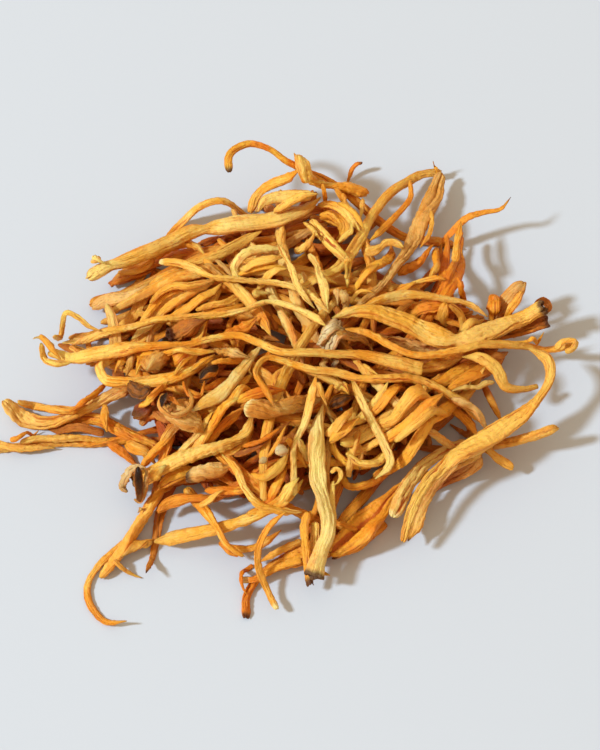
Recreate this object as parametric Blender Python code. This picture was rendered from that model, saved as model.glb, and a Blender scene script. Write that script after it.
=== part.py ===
"""A dried clump of cultivated cordyceps: fifty-nine stems and one shared base, tangled as they dried.

Every stem is traced once, as it is seen from the photo's side, and then laid down in order, each on the
stems below it. The lower ones fork, and their side stems fill the inside of the heap. Lengths in the
tables are millimetres; the objects are built in metres, +Z up.
"""

import math
from dataclasses import dataclass, field

import bmesh
import bpy
import numpy as np

MM = 0.001

# How the photo sees the clump.
PHOTO_MIDDLE = (300.0, 375.0)  # the photo's middle, in its pixels
PIXEL_MM = 0.21  # one pixel, measured on the table at the middle
LOOK_DOWN = math.radians(61.0)  # how far the view tips below the horizon
EYE_AWAY = 560.0  # from the eye to the table's middle

# How high the dried stems prop each other up: a dome over the table, the topmost stems on its crown.
HEAP_HIGH = 17.0
HEAP_MIDDLE = (2.0, -2.0)  # its crown in plan
HEAP_REACH = (60.0, 54.0)  # its half size in plan
TABLE_STEMS = 14  # the stems that lie on the table, with the heap's weight on them

# How stems lie on each other.
GAP = 0.30  # air between two stems that touch
CELL = 0.25  # a square of the height map
MAP_HALF = 80.0  # the height map's half side
ROW_STEP = 0.5  # between the places where a stem is held clear of the ones below
ACROSS = np.linspace(-0.98, 0.98, 9)  # those places across a stem, in half widths
SAG_ROUNDS = 60  # rounds of easing a stem down onto its supports
SAG = 0.03  # how far a stem sinks between its supports, in each round
FORK_SAG = 0.15  # the same for a side stem, which is limp
TIP_DROOP = 0.25  # how far a free end bends down, per ring
TIP_RISE = 0.5  # how far a free end still climbs, per ring

# The side stems, which fork off the stems of the heap's lower part.
FORKED_STEMS = 36  # the lowest stems, which fork where they run inside the heap
TWICE_FORKED = 14  # of those, the lowest, which fork twice
FORK_POINTS = 7  # most points of a side stem's route
FORK_FEWEST = 4  # and the fewest, where it would leave the heap
FORK_TURN = (20.0, 80.0)  # degrees away from the run of its stem
FORK_BEND = (-60.0, 60.0)  # degrees that it bends on its way
FORK_LONG = (28.0, 52.0)  # mm
FORK_WIDE = (2.7, 3.7)  # mm
FORK_TAPER = (0.8, 1.0, 1.0, 0.5)  # shares of that width along it
FORK_WAYS = 100  # ways of forking that are weighed up for each stem
LEAST_GAIN = 12.0  # squares of bare ground that a side stem covers at least
FORK_LOW = 0.35  # how high it keeps, as a share of its stem's height in the heap
FORK_RING_STEP = 7.2  # mm between its rings
PATCH = 5.0  # side of the squares of the photo in which the heap's bare ground is counted, in its pixels
HIGH_STEMS_FROM = 30  # stems from here on lie high over the table
HALF_BARE = 0.5  # how bare the ground below a high stem counts
HEAP_EDGE = [  # where the heap is dense in the photo, in its pixels
    (106, 284), (128, 270), (165, 258), (205, 240), (250, 227), (290, 222), (318, 208), (345, 204),
    (366, 218), (372, 236), (378, 262), (384, 290), (404, 286), (424, 274), (446, 270), (464, 300),
    (486, 318), (508, 332), (500, 348), (492, 366), (478, 386), (448, 408), (420, 436), (396, 462),
    (372, 482), (345, 486), (332, 500), (328, 540), (318, 556), (306, 552), (298, 508), (270, 506),
    (246, 500), (236, 486), (214, 496), (196, 486), (168, 484), (152, 478), (152, 462), (165, 442),
    (158, 424), (172, 408), (150, 402), (128, 390), (110, 380), (98, 370), (72, 358), (50, 347),
    (74, 337), (100, 325), (98, 306), (120, 292),
]

# How a stem is meshed.
SIDES = 6
RING_STEP = 4.8  # mm between rings
FEWEST_RINGS = 6
TIP_REACH = 0.55  # how far a tip's point stands out, in half widths
PRESSED = 0.25  # how deep the lowest stems are pressed flat by the tray they dried on


@dataclass
class Stem:
    """One stem: where it runs in the photo, and how wide it is there."""

    name: str
    tone: str
    route: list  # (across, down) in photo pixels, from one end to the other
    widths: list  # mm, spread evenly along the route
    flat: float = 0.62  # thickness as a share of width
    roll: tuple = (0.0, 0.0)  # degrees the section leans, at each end
    lifts: dict = field(default_factory=dict)  # route point: least height of the axis, mm


STEMS = [
    # Lowest: stems that lie on the table.
    Stem("left_floor_stem", "gold",
         [(-8, 450), (15, 447), (35, 444), (60, 443), (90, 443), (120, 441), (150, 441), (185, 440),
          (222, 428)],
         [1.7, 1.9, 1.7, 1.8, 1.9, 2.1, 1.9, 1.6]),
    Stem("left_low_stem", "orange",
         [(55, 428), (75, 420), (90, 418), (108, 425), (130, 435), (155, 447), (185, 458), (215, 470)],
         [1.0, 2.6, 2.7, 2.5, 2.3, 2.1, 1.6]),
    Stem("right_floor_stem", "gold",
         [(557, 427), (540, 434), (520, 440), (500, 443), (480, 449), (455, 452), (430, 448), (405, 440)],
         [2.2, 2.3, 2.6, 2.5, 2.0, 1.8, 1.6],
         lifts={0: 8.0, 1: 6.5, 2: 5.0}),
    Stem("right_stub_stem", "gold",
         [(513, 468), (503, 462), (495, 455), (486, 447), (470, 435), (450, 424)],
         [2.0, 2.0, 1.8, 1.6, 1.3]),
    Stem("lobed_floor_stem", "tan",
         [(481, 464), (472, 468), (461, 473), (446, 481), (432, 490), (416, 501)],
         [3.6, 4.2, 2.7, 1.7, 1.4]),
    Stem("bottom_orange_stem", "orange",
         [(246, 617), (244, 604), (250, 592), (257, 580), (266, 570), (282, 562), (300, 556), (322, 550),
          (342, 545)],
         [2.1, 1.6, 1.7, 2.0, 2.6, 3.9, 4.9, 4.9, 3.6]),
    Stem("hooked_stem", "orange",
         [(229, 172), (229, 158), (236, 148), (250, 143), (265, 147), (280, 156), (297, 166), (318, 175),
          (340, 188), (358, 203), (378, 221), (398, 234), (420, 240), (445, 243), (463, 249)],
         [1.9, 1.6, 1.3, 1.5, 1.7, 1.9, 2.0, 2.0, 2.1, 1.8],
         lifts={0: 12.0, 1: 13.0, 2: 13.3, 3: 13.3, 4: 12.8, 5: 11.5, 6: 9.5}),
    Stem("right_under_stem", "orange",
         [(340, 465), (342, 480), (353, 488), (370, 483), (388, 469), (402, 453), (420, 438), (437, 425),
          (452, 412), (470, 396)],
         [1.3, 1.6, 2.0, 2.3, 2.4, 2.3, 1.9]),
    Stem("right_bundle_stem", "orange",
         [(425, 412), (440, 400), (458, 388), (475, 377), (493, 367), (505, 355)],
         [2.0, 2.6, 2.8, 2.6, 2.0]),
    Stem("dark_tip_stem", "brown",
         [(185, 470), (172, 487), (162, 508), (158, 528), (154, 548), (150, 563), (146, 573)],
         [1.7, 2.0, 2.1, 1.8, 1.4, 1.0],
         lifts={6: 4.0}),
    Stem("lower_left_hook_stem", "gold",
         [(127, 621), (112, 624), (98, 616), (90, 604), (87, 590), (92, 575), (102, 562), (116, 550),
          (132, 535), (148, 518)],
         [1.0, 1.3, 1.5, 1.5, 1.5, 1.7, 1.5],
         lifts={0: 2.5}),
    Stem("deep_orange_stem", "orange",
         [(258, 372), (280, 376), (302, 384), (322, 392), (345, 398)],
         [2.5, 3.6, 3.2, 2.5, 1.8]),
    Stem("wrinkled_stem", "tan",
         [(190, 349), (172, 356), (156, 362), (141, 370), (127, 378)],
         [2.5, 3.6, 3.8, 3.2, 1.8]),
    Stem("back_right_stem", "orange",
         [(441, 248), (439, 262), (431, 276), (420, 288), (405, 300), (388, 310), (368, 322)],
         [1.9, 2.0, 1.9, 1.8, 1.7, 1.5]),
    # Middle of the tangle.
    Stem("shrivelled_stem", "brown",
         [(168, 334), (180, 329), (196, 326), (214, 324), (236, 327), (256, 333), (280, 341)],
         [2.3, 3.0, 2.6, 2.2, 1.9, 1.5]),
    Stem("left_orange_stem", "gold",
         [(90, 304), (110, 298), (130, 293), (150, 282), (170, 271), (195, 262), (222, 252), (250, 240),
          (270, 232)],
         [2.5, 2.0, 1.9, 1.9, 2.1, 2.3, 1.7]),
    Stem("back_left_stem", "gold",
         [(183, 272), (200, 263), (225, 255), (250, 248), (272, 239), (292, 230)],
         [1.5, 2.2, 2.3, 2.0, 1.5]),
    Stem("left_rising_stem", "gold",
         [(70, 339), (98, 334), (122, 327), (136, 312), (146, 295), (160, 280), (180, 270), (202, 262)],
         [1.7, 1.9, 2.1, 2.5, 2.3, 1.9, 1.7]),
    Stem("arched_stem", "pale",
         [(165, 242), (175, 228), (190, 214), (212, 204), (232, 206), (246, 216), (262, 230)],
         [1.3, 1.6, 1.7, 1.5, 1.4, 1.3],
         lifts={2: 5.5, 3: 6.0}),
    Stem("top_fan_stem", "pale",
         [(256, 212), (264, 200), (280, 191), (298, 187), (314, 187)],
         [1.9, 2.4, 2.6, 2.7, 2.4],
         lifts={0: 3.0, 4: 7.0}),
    Stem("pale_nub_stem", "gold",
         [(294, 153), (299, 163), (306, 174), (318, 183), (334, 186), (350, 188), (367, 194)],
         [1.3, 2.3, 2.3, 2.0, 2.7, 2.8],
         lifts={0: 8.0, 6: 3.0}),
    Stem("long_curved_stem", "gold",
         [(290, 286), (312, 280), (333, 272), (347, 259), (357, 243), (366, 227), (377, 209), (391, 193),
          (408, 180), (425, 173), (441, 172)],
         [1.6, 2.0, 2.5, 2.5, 2.2, 2.1, 2.1, 2.1, 1.8],
         lifts={8: 3.5, 9: 3.0, 10: 2.4}),
    Stem("right_whisker_stem", "orange",
         [(511, 197), (503, 208), (488, 211), (470, 216), (459, 224), (448, 235), (437, 247)],
         [0.6, 0.9, 1.2, 1.5, 1.4, 1.1],
         lifts={0: 9.8, 1: 9.3, 2: 8.6, 3: 8.0, 4: 7.0}),
    Stem("right_upright_stem", "orange",
         [(462, 228), (460, 241), (459, 254), (461, 266), (456, 278), (448, 292), (438, 308)],
         [1.6, 1.8, 2.0, 2.7, 2.6, 1.9],
         lifts={0: 5.2, 1: 5.8, 2: 6.4, 3: 6.6}),
    Stem("pale_end_stem", "tan",
         [(524, 282), (515, 292), (506, 304), (497, 317), (484, 328)],
         [2.2, 3.8, 4.2, 3.5, 2.2],
         lifts={0: 10.0, 1: 9.0}),
    Stem("split_end_stem", "brown",
         [(548, 321), (530, 326), (512, 331), (490, 338), (468, 345), (445, 352)],
         [2.6, 3.0, 2.9, 2.3, 1.7],
         lifts={0: 7.5, 1: 7.0}),
    Stem("spoke_stem", "gold",
         [(342, 442), (360, 431), (378, 421), (396, 411), (414, 399), (432, 385), (448, 372)],
         [2.0, 2.1, 2.1, 2.1, 1.9, 1.7]),
    Stem("lower_loop_stem", "orange",
         [(346, 424), (335, 436), (334, 450), (344, 462), (358, 467), (372, 463), (386, 452), (400, 438)],
         [1.3, 1.5, 1.6, 1.8, 1.9, 1.8, 1.5]),
    Stem("lower_orange_stem", "orange",
         [(331, 553), (344, 542), (357, 530), (370, 518), (383, 506), (396, 493), (411, 481), (428, 471)],
         [3.6, 5.1, 5.5, 5.1, 3.9, 2.6, 2.2, 2.0], flat=0.5),
    Stem("lower_pale_stem", "pale",
         [(393, 517), (400, 502), (408, 487), (418, 472), (433, 458), (455, 448), (478, 440)],
         [2.6, 3.2, 2.9, 2.5, 2.6, 2.3]),
    Stem("lower_right_stem", "pale",
         [(489, 446), (470, 457), (451, 468), (435, 481), (426, 495), (421, 511), (415, 527), (408, 541)],
         [1.8, 2.3, 2.5, 2.5, 2.7, 2.7, 1.5],
         lifts={7: 3.5}),
    Stem("front_pale_stem", "pale",
         [(154, 542), (175, 537), (200, 532), (225, 528), (246, 520), (264, 511), (282, 500), (300, 488)],
         [2.9, 2.9, 2.5, 2.4, 2.3, 1.9, 1.7]),
    Stem("front_curl_stem", "gold",
         [(186, 488), (199, 505), (211, 519), (221, 533), (227, 544), (235, 553), (243, 553)],
         [2.3, 2.5, 2.2, 1.5, 1.2, 1.0]),
    Stem("lower_left_stem", "gold",
         [(184, 466), (166, 484), (153, 502), (140, 522), (127, 542), (116, 558), (101, 578)],
         [2.1, 2.4, 2.5, 2.5, 2.3, 1.5]),
    Stem("left_arm_stem", "pale",
         [(138, 385), (116, 394), (95, 404), (75, 414), (52, 422), (32, 421), (14, 412), (4, 401)],
         [2.5, 2.5, 2.4, 2.1, 2.9, 3.4, 2.4],
         lifts={7: 3.0}),
    Stem("bundle_stem", "gold",
         [(142, 466), (156, 451), (169, 436), (180, 422), (200, 413), (222, 404), (246, 397)],
         [1.7, 1.9, 2.0, 2.3, 2.3, 1.8]),
    Stem("left_bend_stem", "gold",
         [(119, 357), (105, 360), (99, 371), (107, 381), (130, 382), (158, 380), (180, 376), (198, 368),
          (216, 359)],
         [2.0, 2.0, 2.3, 2.5, 2.4, 2.2, 1.8]),
    Stem("hollow_stem", "tan",
         [(175, 396), (179, 409), (190, 420), (206, 430)],
         [6.0, 5.8, 4.4, 2.4], flat=0.85,
         lifts={0: 11.0, 1: 8.0}),
    Stem("bundle_pale_stem", "pale",
         [(134, 482), (150, 472), (170, 461), (195, 453), (220, 448), (240, 438), (251, 424), (253, 411)],
         [4.4, 3.4, 3.1, 2.8, 2.5, 2.4, 1.9]),
    Stem("pod_stem", "tan",
         [(244, 407), (262, 410), (280, 409), (300, 404), (322, 398)],
         [4.2, 4.5, 4.2, 3.3, 2.0]),
    Stem("broad_left_stem", "pale",
         [(132, 339), (147, 325), (160, 311), (178, 299), (198, 288), (217, 280)],
         [1.9, 2.4, 2.9, 3.2, 1.9]),
    Stem("diagonal_stem", "gold",
         [(204, 259), (216, 271), (230, 283), (245, 296), (256, 309), (264, 322), (271, 336)],
         [1.3, 1.7, 2.4, 2.6, 2.4, 1.3]),
    Stem("tan_ribbon_stem", "tan",
         [(348, 333), (370, 337), (395, 343), (420, 348), (446, 347), (470, 341)],
         [1.9, 2.4, 2.7, 2.5, 2.0]),
    # The shared base, where the upper stems spring from.
    Stem("shared_base", "base",
         [(338, 322), (333, 331), (326, 340), (321, 348)],
         [2.4, 4.2, 3.9, 2.0], flat=0.9),
    # Topmost stems.
    Stem("top_left_ribbon", "pale",
         [(88, 278), (110, 265), (150, 251), (200, 230), (250, 221), (290, 217), (310, 212), (321, 204)],
         [2.9, 3.2, 3.3, 3.5, 3.8, 3.6, 1.2],
         lifts={0: 8.0, 1: 8.0, 2: 8.0}),
    Stem("back_ribbon", "tan",
         [(441, 173), (438, 186), (430, 204), (420, 225), (412, 243), (403, 258), (392, 272), (380, 288),
          (368, 299), (352, 311)],
         [2.2, 3.9, 3.8, 3.2, 2.2, 1.7, 1.6, 1.6],
         lifts={0: 2.4, 1: 3.2}),
    Stem("pale_blade_stem", "pale",
         [(194, 410), (209, 401), (225, 389), (240, 372), (252, 357), (264, 343)],
         [0.9, 2.9, 3.2, 2.4, 1.8, 1.2]),
    Stem("upper_pale_stem", "pale",
         [(62, 343), (90, 338), (120, 330), (150, 322), (182, 317), (215, 315), (240, 311), (262, 303),
          (285, 304), (305, 312), (326, 326)],
         [1.3, 1.9, 1.5, 1.5, 1.6, 1.5, 1.3, 1.5, 1.7]),
    Stem("long_pale_stem", "pale",
         [(160, 262), (178, 263), (194, 269), (211, 277), (240, 279), (270, 282), (295, 287), (315, 298),
          (330, 313)],
         [1.5, 1.8, 1.5, 1.3, 1.3, 1.5, 1.5]),
    Stem("gold_ribbon_stem", "gold",
         [(50, 352), (64, 357), (82, 357), (103, 353), (128, 348), (155, 346), (190, 344), (215, 338),
          (240, 335), (257, 342), (274, 351), (302, 353), (336, 353), (365, 355), (388, 361), (422, 369)],
         [1.6, 3.2, 3.3, 2.0, 1.5, 1.5, 1.5, 1.7, 1.8, 1.7, 2.9, 3.0],
         lifts={0: 9.0, 1: 9.0}),
    Stem("crossing_stem", "pale",
         [(352, 377), (358, 393), (367, 412), (378, 432), (388, 452), (391, 462), (386, 471), (375, 479)],
         [1.7, 1.8, 1.8, 1.9, 1.8, 1.2]),
    Stem("centre_front_stem", "gold",
         [(274, 406), (268, 396), (262, 384), (256, 372), (257, 362), (267, 357), (283, 360), (301, 367),
          (325, 371), (346, 374), (370, 379), (398, 377), (420, 380), (440, 389), (460, 400), (476, 413),
          (487, 427)],
         [1.3, 1.4, 1.0, 1.3, 1.7, 1.8, 1.9, 2.1, 1.9, 1.7, 2.1, 1.9]),
    Stem("front_long_stem", "pale",
         [(316, 376), (312, 395), (307, 415), (301, 432), (294, 446), (290, 457), (293, 469), (298, 480),
          (294, 496)],
         [1.5, 1.8, 1.8, 1.4, 1.3, 1.4, 1.5]),
    Stem("front_whip_stem", "pale",
         [(222, 455), (232, 465), (241, 476), (244, 488), (251, 498), (266, 507), (285, 511), (302, 512)],
         [1.3, 1.7, 1.7, 1.8, 1.8, 1.6, 1.3]),
    Stem("front_drip_stem", "gold",
         [(286, 511), (272, 521), (263, 537), (257, 555), (259, 569), (265, 582), (270, 597), (277, 609)],
         [1.2, 1.2, 1.4, 1.6, 1.4, 1.2, 1.5],
         lifts={7: 2.5}),
    Stem("front_ribbon", "pale",
         [(323, 404), (319, 425), (316, 448), (316, 468), (320, 488), (327, 508), (328, 527), (323, 545),
          (317, 562), (314, 577)],
         [1.1, 2.4, 3.6, 4.5, 3.8, 3.1, 3.0, 2.8, 3.6, 4.0],
         lifts={8: 5.5, 9: 5.5}),
    Stem("right_loop_stem", "gold",
         [(528, 348), (540, 353), (549, 363), (550, 377), (545, 391), (534, 404), (518, 418), (498, 431),
          (478, 443), (458, 456), (440, 469), (427, 483), (418, 498), (411, 513), (406, 528), (403, 541)],
         [1.7, 2.4, 2.0, 1.7, 2.6, 3.6, 3.9, 4.0, 3.6, 2.8, 2.4, 2.2, 2.2, 1.6],
         lifts={0: 11.0, 2: 10.5, 3: 9.5, 4: 8.5}),
    Stem("right_pale_stem", "pale",
         [(361, 311), (375, 303), (390, 297), (410, 294), (430, 297), (450, 299), (466, 303), (480, 311),
          (488, 317)],
         [1.3, 2.1, 2.1, 1.6, 1.5, 1.6, 1.0]),
    Stem("right_ribbon", "pale",
         [(332, 318), (344, 314), (362, 312), (385, 314), (405, 322), (425, 332), (445, 340), (465, 342),
          (482, 335), (500, 326), (520, 318), (534, 312), (544, 307)],
         [1.5, 2.8, 3.6, 4.0, 4.5, 4.6, 4.4, 3.9, 3.0, 3.3],
         lifts={12: 11.0}),
    Stem("right_top_stem", "gold",
         [(345, 329), (365, 332), (385, 342), (402, 351), (420, 356), (440, 354), (460, 350), (485, 345),
          (510, 344), (530, 346), (548, 349), (562, 347), (574, 343)],
         [1.6, 1.6, 1.5, 1.5, 1.7, 1.8, 1.9, 1.7, 1.3, 1.9],
         lifts={12: 11.0}),
]

TONES = {  # Principled colour and roughness
    "pale": ((0.80, 0.56, 0.22), 0.62),
    "gold": ((0.76, 0.45, 0.10), 0.60),
    "orange": ((0.66, 0.27, 0.04), 0.60),
    "tan": ((0.68, 0.42, 0.17), 0.68),
    "brown": ((0.38, 0.16, 0.05), 0.72),
    "base": ((0.72, 0.56, 0.33), 0.75),
}


def on_table(across, down, height):
    """Where a point of the photo lies in plan, in mm, if it is this high above the table."""
    eye_y, eye_z = -EYE_AWAY * math.cos(LOOK_DOWN), EYE_AWAY * math.sin(LOOK_DOWN)
    right = (across - PHOTO_MIDDLE[0]) * PIXEL_MM
    up = (PHOTO_MIDDLE[1] - down) * PIXEL_MM
    ray_y = EYE_AWAY * math.cos(LOOK_DOWN) + up * math.sin(LOOK_DOWN)
    ray_z = -EYE_AWAY * math.sin(LOOK_DOWN) + up * math.cos(LOOK_DOWN)
    reach = (height - eye_z) / ray_z
    return right * reach, eye_y + ray_y * reach


def smooth_through(points, count):
    """A smooth curve through the points, as count points spread evenly along it."""
    points = np.asarray(points, float)
    before = 2 * points[0] - points[1]
    after = 2 * points[-1] - points[-2]
    knots = np.vstack([before, points, after])
    fine = []
    for i in range(len(points) - 1):
        a, b, c, d = knots[i : i + 4]
        t = np.linspace(0, 1, 12, endpoint=False)[:, None]
        fine.append(0.5 * (2 * b + (c - a) * t + (2 * a - 5 * b + 4 * c - d) * t**2
                           + (3 * b - a - 3 * c + d) * t**3))
    fine = np.vstack(fine + [points[-1:]])
    along = np.concatenate([[0], np.cumsum(np.linalg.norm(np.diff(fine[:, :2], axis=0), axis=1))])
    spots = np.linspace(0, along[-1], count)
    return np.stack([np.interp(spots, along, fine[:, k]) for k in range(fine.shape[1])], axis=1)


def spread(values, count):
    """The values spread evenly over count places, eased from one to the next."""
    return np.interp(np.linspace(0, 1, count), np.linspace(0, 1, len(values)), values)


def inside(edge, across, down):
    """Whether a place of the photo lies within an outline."""
    within = False
    for (x0, y0), (x1, y1) in zip(edge, edge[1:] + edge[:1]):
        if (y0 > down) != (y1 > down) and across < (x1 - x0) * (down - y0) / (y1 - y0) + x0:
            within = not within
    return within


class BareGround:
    """How bare the heap's ground still is, over the squares of the photo that the heap covers."""

    def __init__(self):
        low, high = np.min(HEAP_EDGE, axis=0), np.max(HEAP_EDGE, axis=0)
        squares = [(across, down) for across in np.arange(low[0], high[0], PATCH)
                   for down in np.arange(low[1], high[1], PATCH)]
        self.squares = np.array([spot for spot in squares if inside(HEAP_EDGE, *spot)])
        self.bare = np.ones(len(self.squares))

    def under(self, route, width):
        """Which squares a stem of this width in mm covers."""
        fine = smooth_through(np.column_stack([route, np.zeros(len(route))]), 30)[:, :2]
        away = np.linalg.norm(self.squares[:, None, :] - fine[None, :, :], axis=2).min(axis=1)
        return away < width / 2 / PIXEL_MM


def side_route(stem, rng):
    """One way of forking off a stem: the route point that it leaves from, and its own route."""
    point = int(rng.integers(1, len(stem.route) - 1))
    before, start, after = (np.array(stem.route[k], float) for k in (point - 1, point, point + 1))
    away = rng.choice([-1, 1]) * math.radians(rng.uniform(*FORK_TURN)) + rng.choice([0, math.pi])
    angle = math.atan2(*(after - before)[::-1]) + away
    bend = math.radians(rng.uniform(*FORK_BEND))
    step = rng.uniform(*FORK_LONG) / PIXEL_MM / (FORK_POINTS - 1)
    route = [start]
    for share in np.linspace(0, 1, FORK_POINTS - 1):
        turned = angle + bend * share
        spot = route[-1] + step * np.array([math.cos(turned), math.sin(turned)])
        if not inside(HEAP_EDGE, *spot):
            break
        route.append(spot)
    return point, route


def plan_forks():
    """The side stems of each stem, over the barest ground in reach, with the route point each leaves from."""
    rng = np.random.default_rng(8)
    ground = BareGround()
    for order, stem in enumerate(STEMS):
        covered = ground.under(stem.route, np.mean(stem.widths))
        ground.bare[covered] *= HALF_BARE if order >= HIGH_STEMS_FROM else 0.0
    forks = {stem.name: [] for stem in STEMS}
    for stem in STEMS[:TWICE_FORKED] + STEMS[:FORKED_STEMS]:
        wide = rng.uniform(*FORK_WIDE)
        best, gain = None, LEAST_GAIN
        for _ in range(FORK_WAYS):
            point, route = side_route(stem, rng)
            if len(route) < FORK_FEWEST:
                continue
            found = ground.bare[ground.under(route, wide)].sum()
            if found > gain:
                best, gain = (point, route), found
        if best:
            point, route = best
            ground.bare[ground.under(route, wide)] = 0.0
            widths = [share * wide for share in FORK_TAPER]
            widths[0] = min(widths[0], min(stem.widths))
            name = f"{stem.name}_fork_{len(forks[stem.name]) + 1}"
            forks[stem.name].append((point, Stem(name, stem.tone, route, widths)))
    return forks


class HeightMap:
    """How high the pile reaches over each square of the table."""

    def __init__(self):
        self.side = int(2 * MAP_HALF / CELL)
        self.top = np.zeros((self.side, self.side))

    def squares(self, x, y):
        column = np.clip(((x + MAP_HALF) / CELL).astype(int), 0, self.side - 1)
        row = np.clip(((y + MAP_HALF) / CELL).astype(int), 0, self.side - 1)
        return row, column

    def height(self, x, y):
        return self.top[self.squares(x, y)]

    def raise_to(self, x, y, z):
        np.maximum.at(self.top, self.squares(x, y), z)


def heap_height(x, y):
    """How high the heap's dome stands over a place in plan."""
    out = np.hypot((x - HEAP_MIDDLE[0]) / HEAP_REACH[0], (y - HEAP_MIDDLE[1]) / HEAP_REACH[1])
    return HEAP_HIGH * np.clip(1.0 - out**2, 0.0, 1.0)


def section(half_width, half_thick, lean):
    """Of a leaning oval: its half width in plan, the slope of its middle, and its half height there."""
    reach = np.sqrt((half_width * np.cos(lean)) ** 2 + (half_thick * np.sin(lean)) ** 2)
    tilt = (half_width**2 - half_thick**2) * np.sin(lean) * np.cos(lean) / reach**2
    return reach, tilt, half_width * half_thick / reach


def plan_sides(x, y):
    """Unit directions across a plan curve, to its left."""
    along = np.stack([np.gradient(x), np.gradient(y)], axis=1)
    along /= np.linalg.norm(along, axis=1)[:, None]
    return np.stack([-along[:, 1], along[:, 0]], axis=1)


class LaidStem:
    """A stem in place: its rings' centres, half sizes and lean."""

    def __init__(self, stem, ground, layer, joint=None):
        self.stem = stem
        self.layer = layer  # 0 on the table, 1 on the crown of the heap
        self.joint = joint  # for a side stem: how high it leaves its stem
        self.ring_step = RING_STEP if joint is None else FORK_RING_STEP
        self.sag = SAG if joint is None else FORK_SAG
        heights = np.full(len(stem.route), 4.0)
        for _ in range(4):
            self.set_plan(heights)
            self.rest_on(ground)
            marks = np.linspace(0, 1, len(self.centres))
            heights = np.interp(self.route_marks(), marks, self.centres[:, 2])

    def height_at(self, point):
        """How high the axis runs at a point of the route."""
        return np.interp(self.route_marks()[point], np.linspace(0, 1, len(self.centres)), self.centres[:, 2])

    def route_marks(self):
        """How far along the stem each route point lies, from 0 to 1."""
        steps = np.linalg.norm(np.diff(np.asarray(self.stem.route, float), axis=0), axis=1)
        along = np.concatenate([[0], np.cumsum(steps)])
        return along / along[-1]

    def set_plan(self, heights):
        plan = [on_table(*spot, high) for spot, high in zip(self.stem.route, heights)]
        length = sum(math.dist(a, b) for a, b in zip(plan, plan[1:]))
        count = max(FEWEST_RINGS, round(length / self.ring_step) + 1)
        self.centres = np.zeros((count, 3))
        self.centres[:, :2] = smooth_through(plan, count)
        self.half_width = spread(self.stem.widths, count) / 2
        self.half_thick = self.half_width * self.stem.flat
        self.lean = np.radians(np.linspace(*self.stem.roll, count))
        self.least = self.layer * heap_height(self.centres[:, 0], self.centres[:, 1])
        for point, high in self.stem.lifts.items():
            ring = round(self.route_marks()[point] * (count - 1))
            self.least[ring] = max(self.least[ring], high)

    def rows(self, step):
        """Places along the stem: the ring before, the share of the way to the next, and their plan."""
        length = np.linalg.norm(np.diff(self.centres[:, :2], axis=0), axis=1).sum()
        spots = np.linspace(0, len(self.centres) - 1, max(8, int(length / step)))
        ring = np.minimum(spots.astype(int), len(self.centres) - 2)
        share = spots - ring
        x, y = (np.interp(spots, np.arange(len(self.centres)), self.centres[:, k]) for k in (0, 1))
        return spots, ring, share, x, y

    def outline(self, step, across, grow):
        """Plan places over the stem, with its lower and upper side there above its axis."""
        spots, ring, share, x, y = self.rows(step)
        at = np.arange(len(self.centres))
        wide = np.interp(spots, at, self.half_width) + grow
        thick = np.interp(spots, at, self.half_thick) + grow
        lean = np.interp(spots, at, self.lean)
        reach, tilt, high = section(wide, thick, lean)
        rise = np.interp(spots, at, np.gradient(self.centres[:, 2]))
        run = np.linalg.norm(np.diff(self.centres[:, :2], axis=0), axis=1).mean()
        high = high * np.sqrt(1 + (rise / run) ** 2)
        sides = plan_sides(x, y)
        offset = reach[:, None] * across[None, :]
        px = x[:, None] + sides[:, :1] * offset
        py = y[:, None] + sides[:, 1:] * offset
        middle = tilt[:, None] * offset
        half = high[:, None] * np.sqrt(1 - across[None, :] ** 2)
        return ring, share, px, py, middle - half, middle + half

    def rest_on(self, ground):
        """Lays the stem on what is below: it bridges gaps, and its free ends droop."""
        z = np.maximum(self.half_thick, self.least)
        for _ in range(2):
            self.centres[:, 2] = z
            ring, share, px, py, under, _ = self.outline(ROW_STEP, ACROSS, 0.0)
            need = (ground.height(px, py) - under).max(axis=1)
            for _ in range(SAG_ROUNDS):
                for ends, nearer, further in ((0, 1, 2), (-1, -2, -3)):
                    z[ends] = z[nearer] + min(z[nearer] - z[further], TIP_RISE) - TIP_DROOP
                z[1:-1] = 0.5 * z[1:-1] + 0.25 * (z[:-2] + z[2:]) - self.sag
                z = np.maximum(z, np.maximum(self.least, self.half_thick))
                for _ in range(3):
                    short = np.maximum(need - ((1 - share) * z[ring] + share * z[ring + 1]), 0)
                    weight = (1 - share) ** 2 + share**2
                    np.maximum.at(lift := np.zeros(len(z)), ring, short * (1 - share) / weight)
                    np.maximum.at(lift, ring + 1, short * share / weight)
                    z = z + lift
                    if self.joint is not None:
                        z[0] = self.joint
        self.centres[:, 2] = z

    def mark(self, ground):
        across = np.linspace(-0.995, 0.995, 25)
        _, _, px, py, _, over = self.outline(CELL * 0.6, across, GAP)
        row_z = np.interp(self.rows(CELL * 0.6)[0], np.arange(len(self.centres)), self.centres[:, 2])
        ground.raise_to(px, py, row_z[:, None] + over)


def ring_points(laid, i):
    """The corners of ring i, in a plane across the stem, and the way the stem runs there."""
    centres = laid.centres
    ahead = centres[min(i + 1, len(centres) - 1)] - centres[max(i - 1, 0)]
    ahead /= np.linalg.norm(ahead)
    side = np.cross([0, 0, 1], ahead)
    side /= np.linalg.norm(side)
    up = np.cross(ahead, side)
    turn = np.arange(SIDES) * 2 * math.pi / SIDES
    wide = laid.half_width[i] * np.cos(turn)
    high = laid.half_thick[i] * np.sin(turn)
    lean = laid.lean[i]
    out = wide * math.cos(lean) - high * math.sin(lean)
    rise = wide * math.sin(lean) + high * math.cos(lean)
    points = centres[i] + out[:, None] * side + rise[:, None] * up
    points[:, 2] = np.where(points[:, 2] < PRESSED, 0.0, points[:, 2])
    return points, ahead


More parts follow.
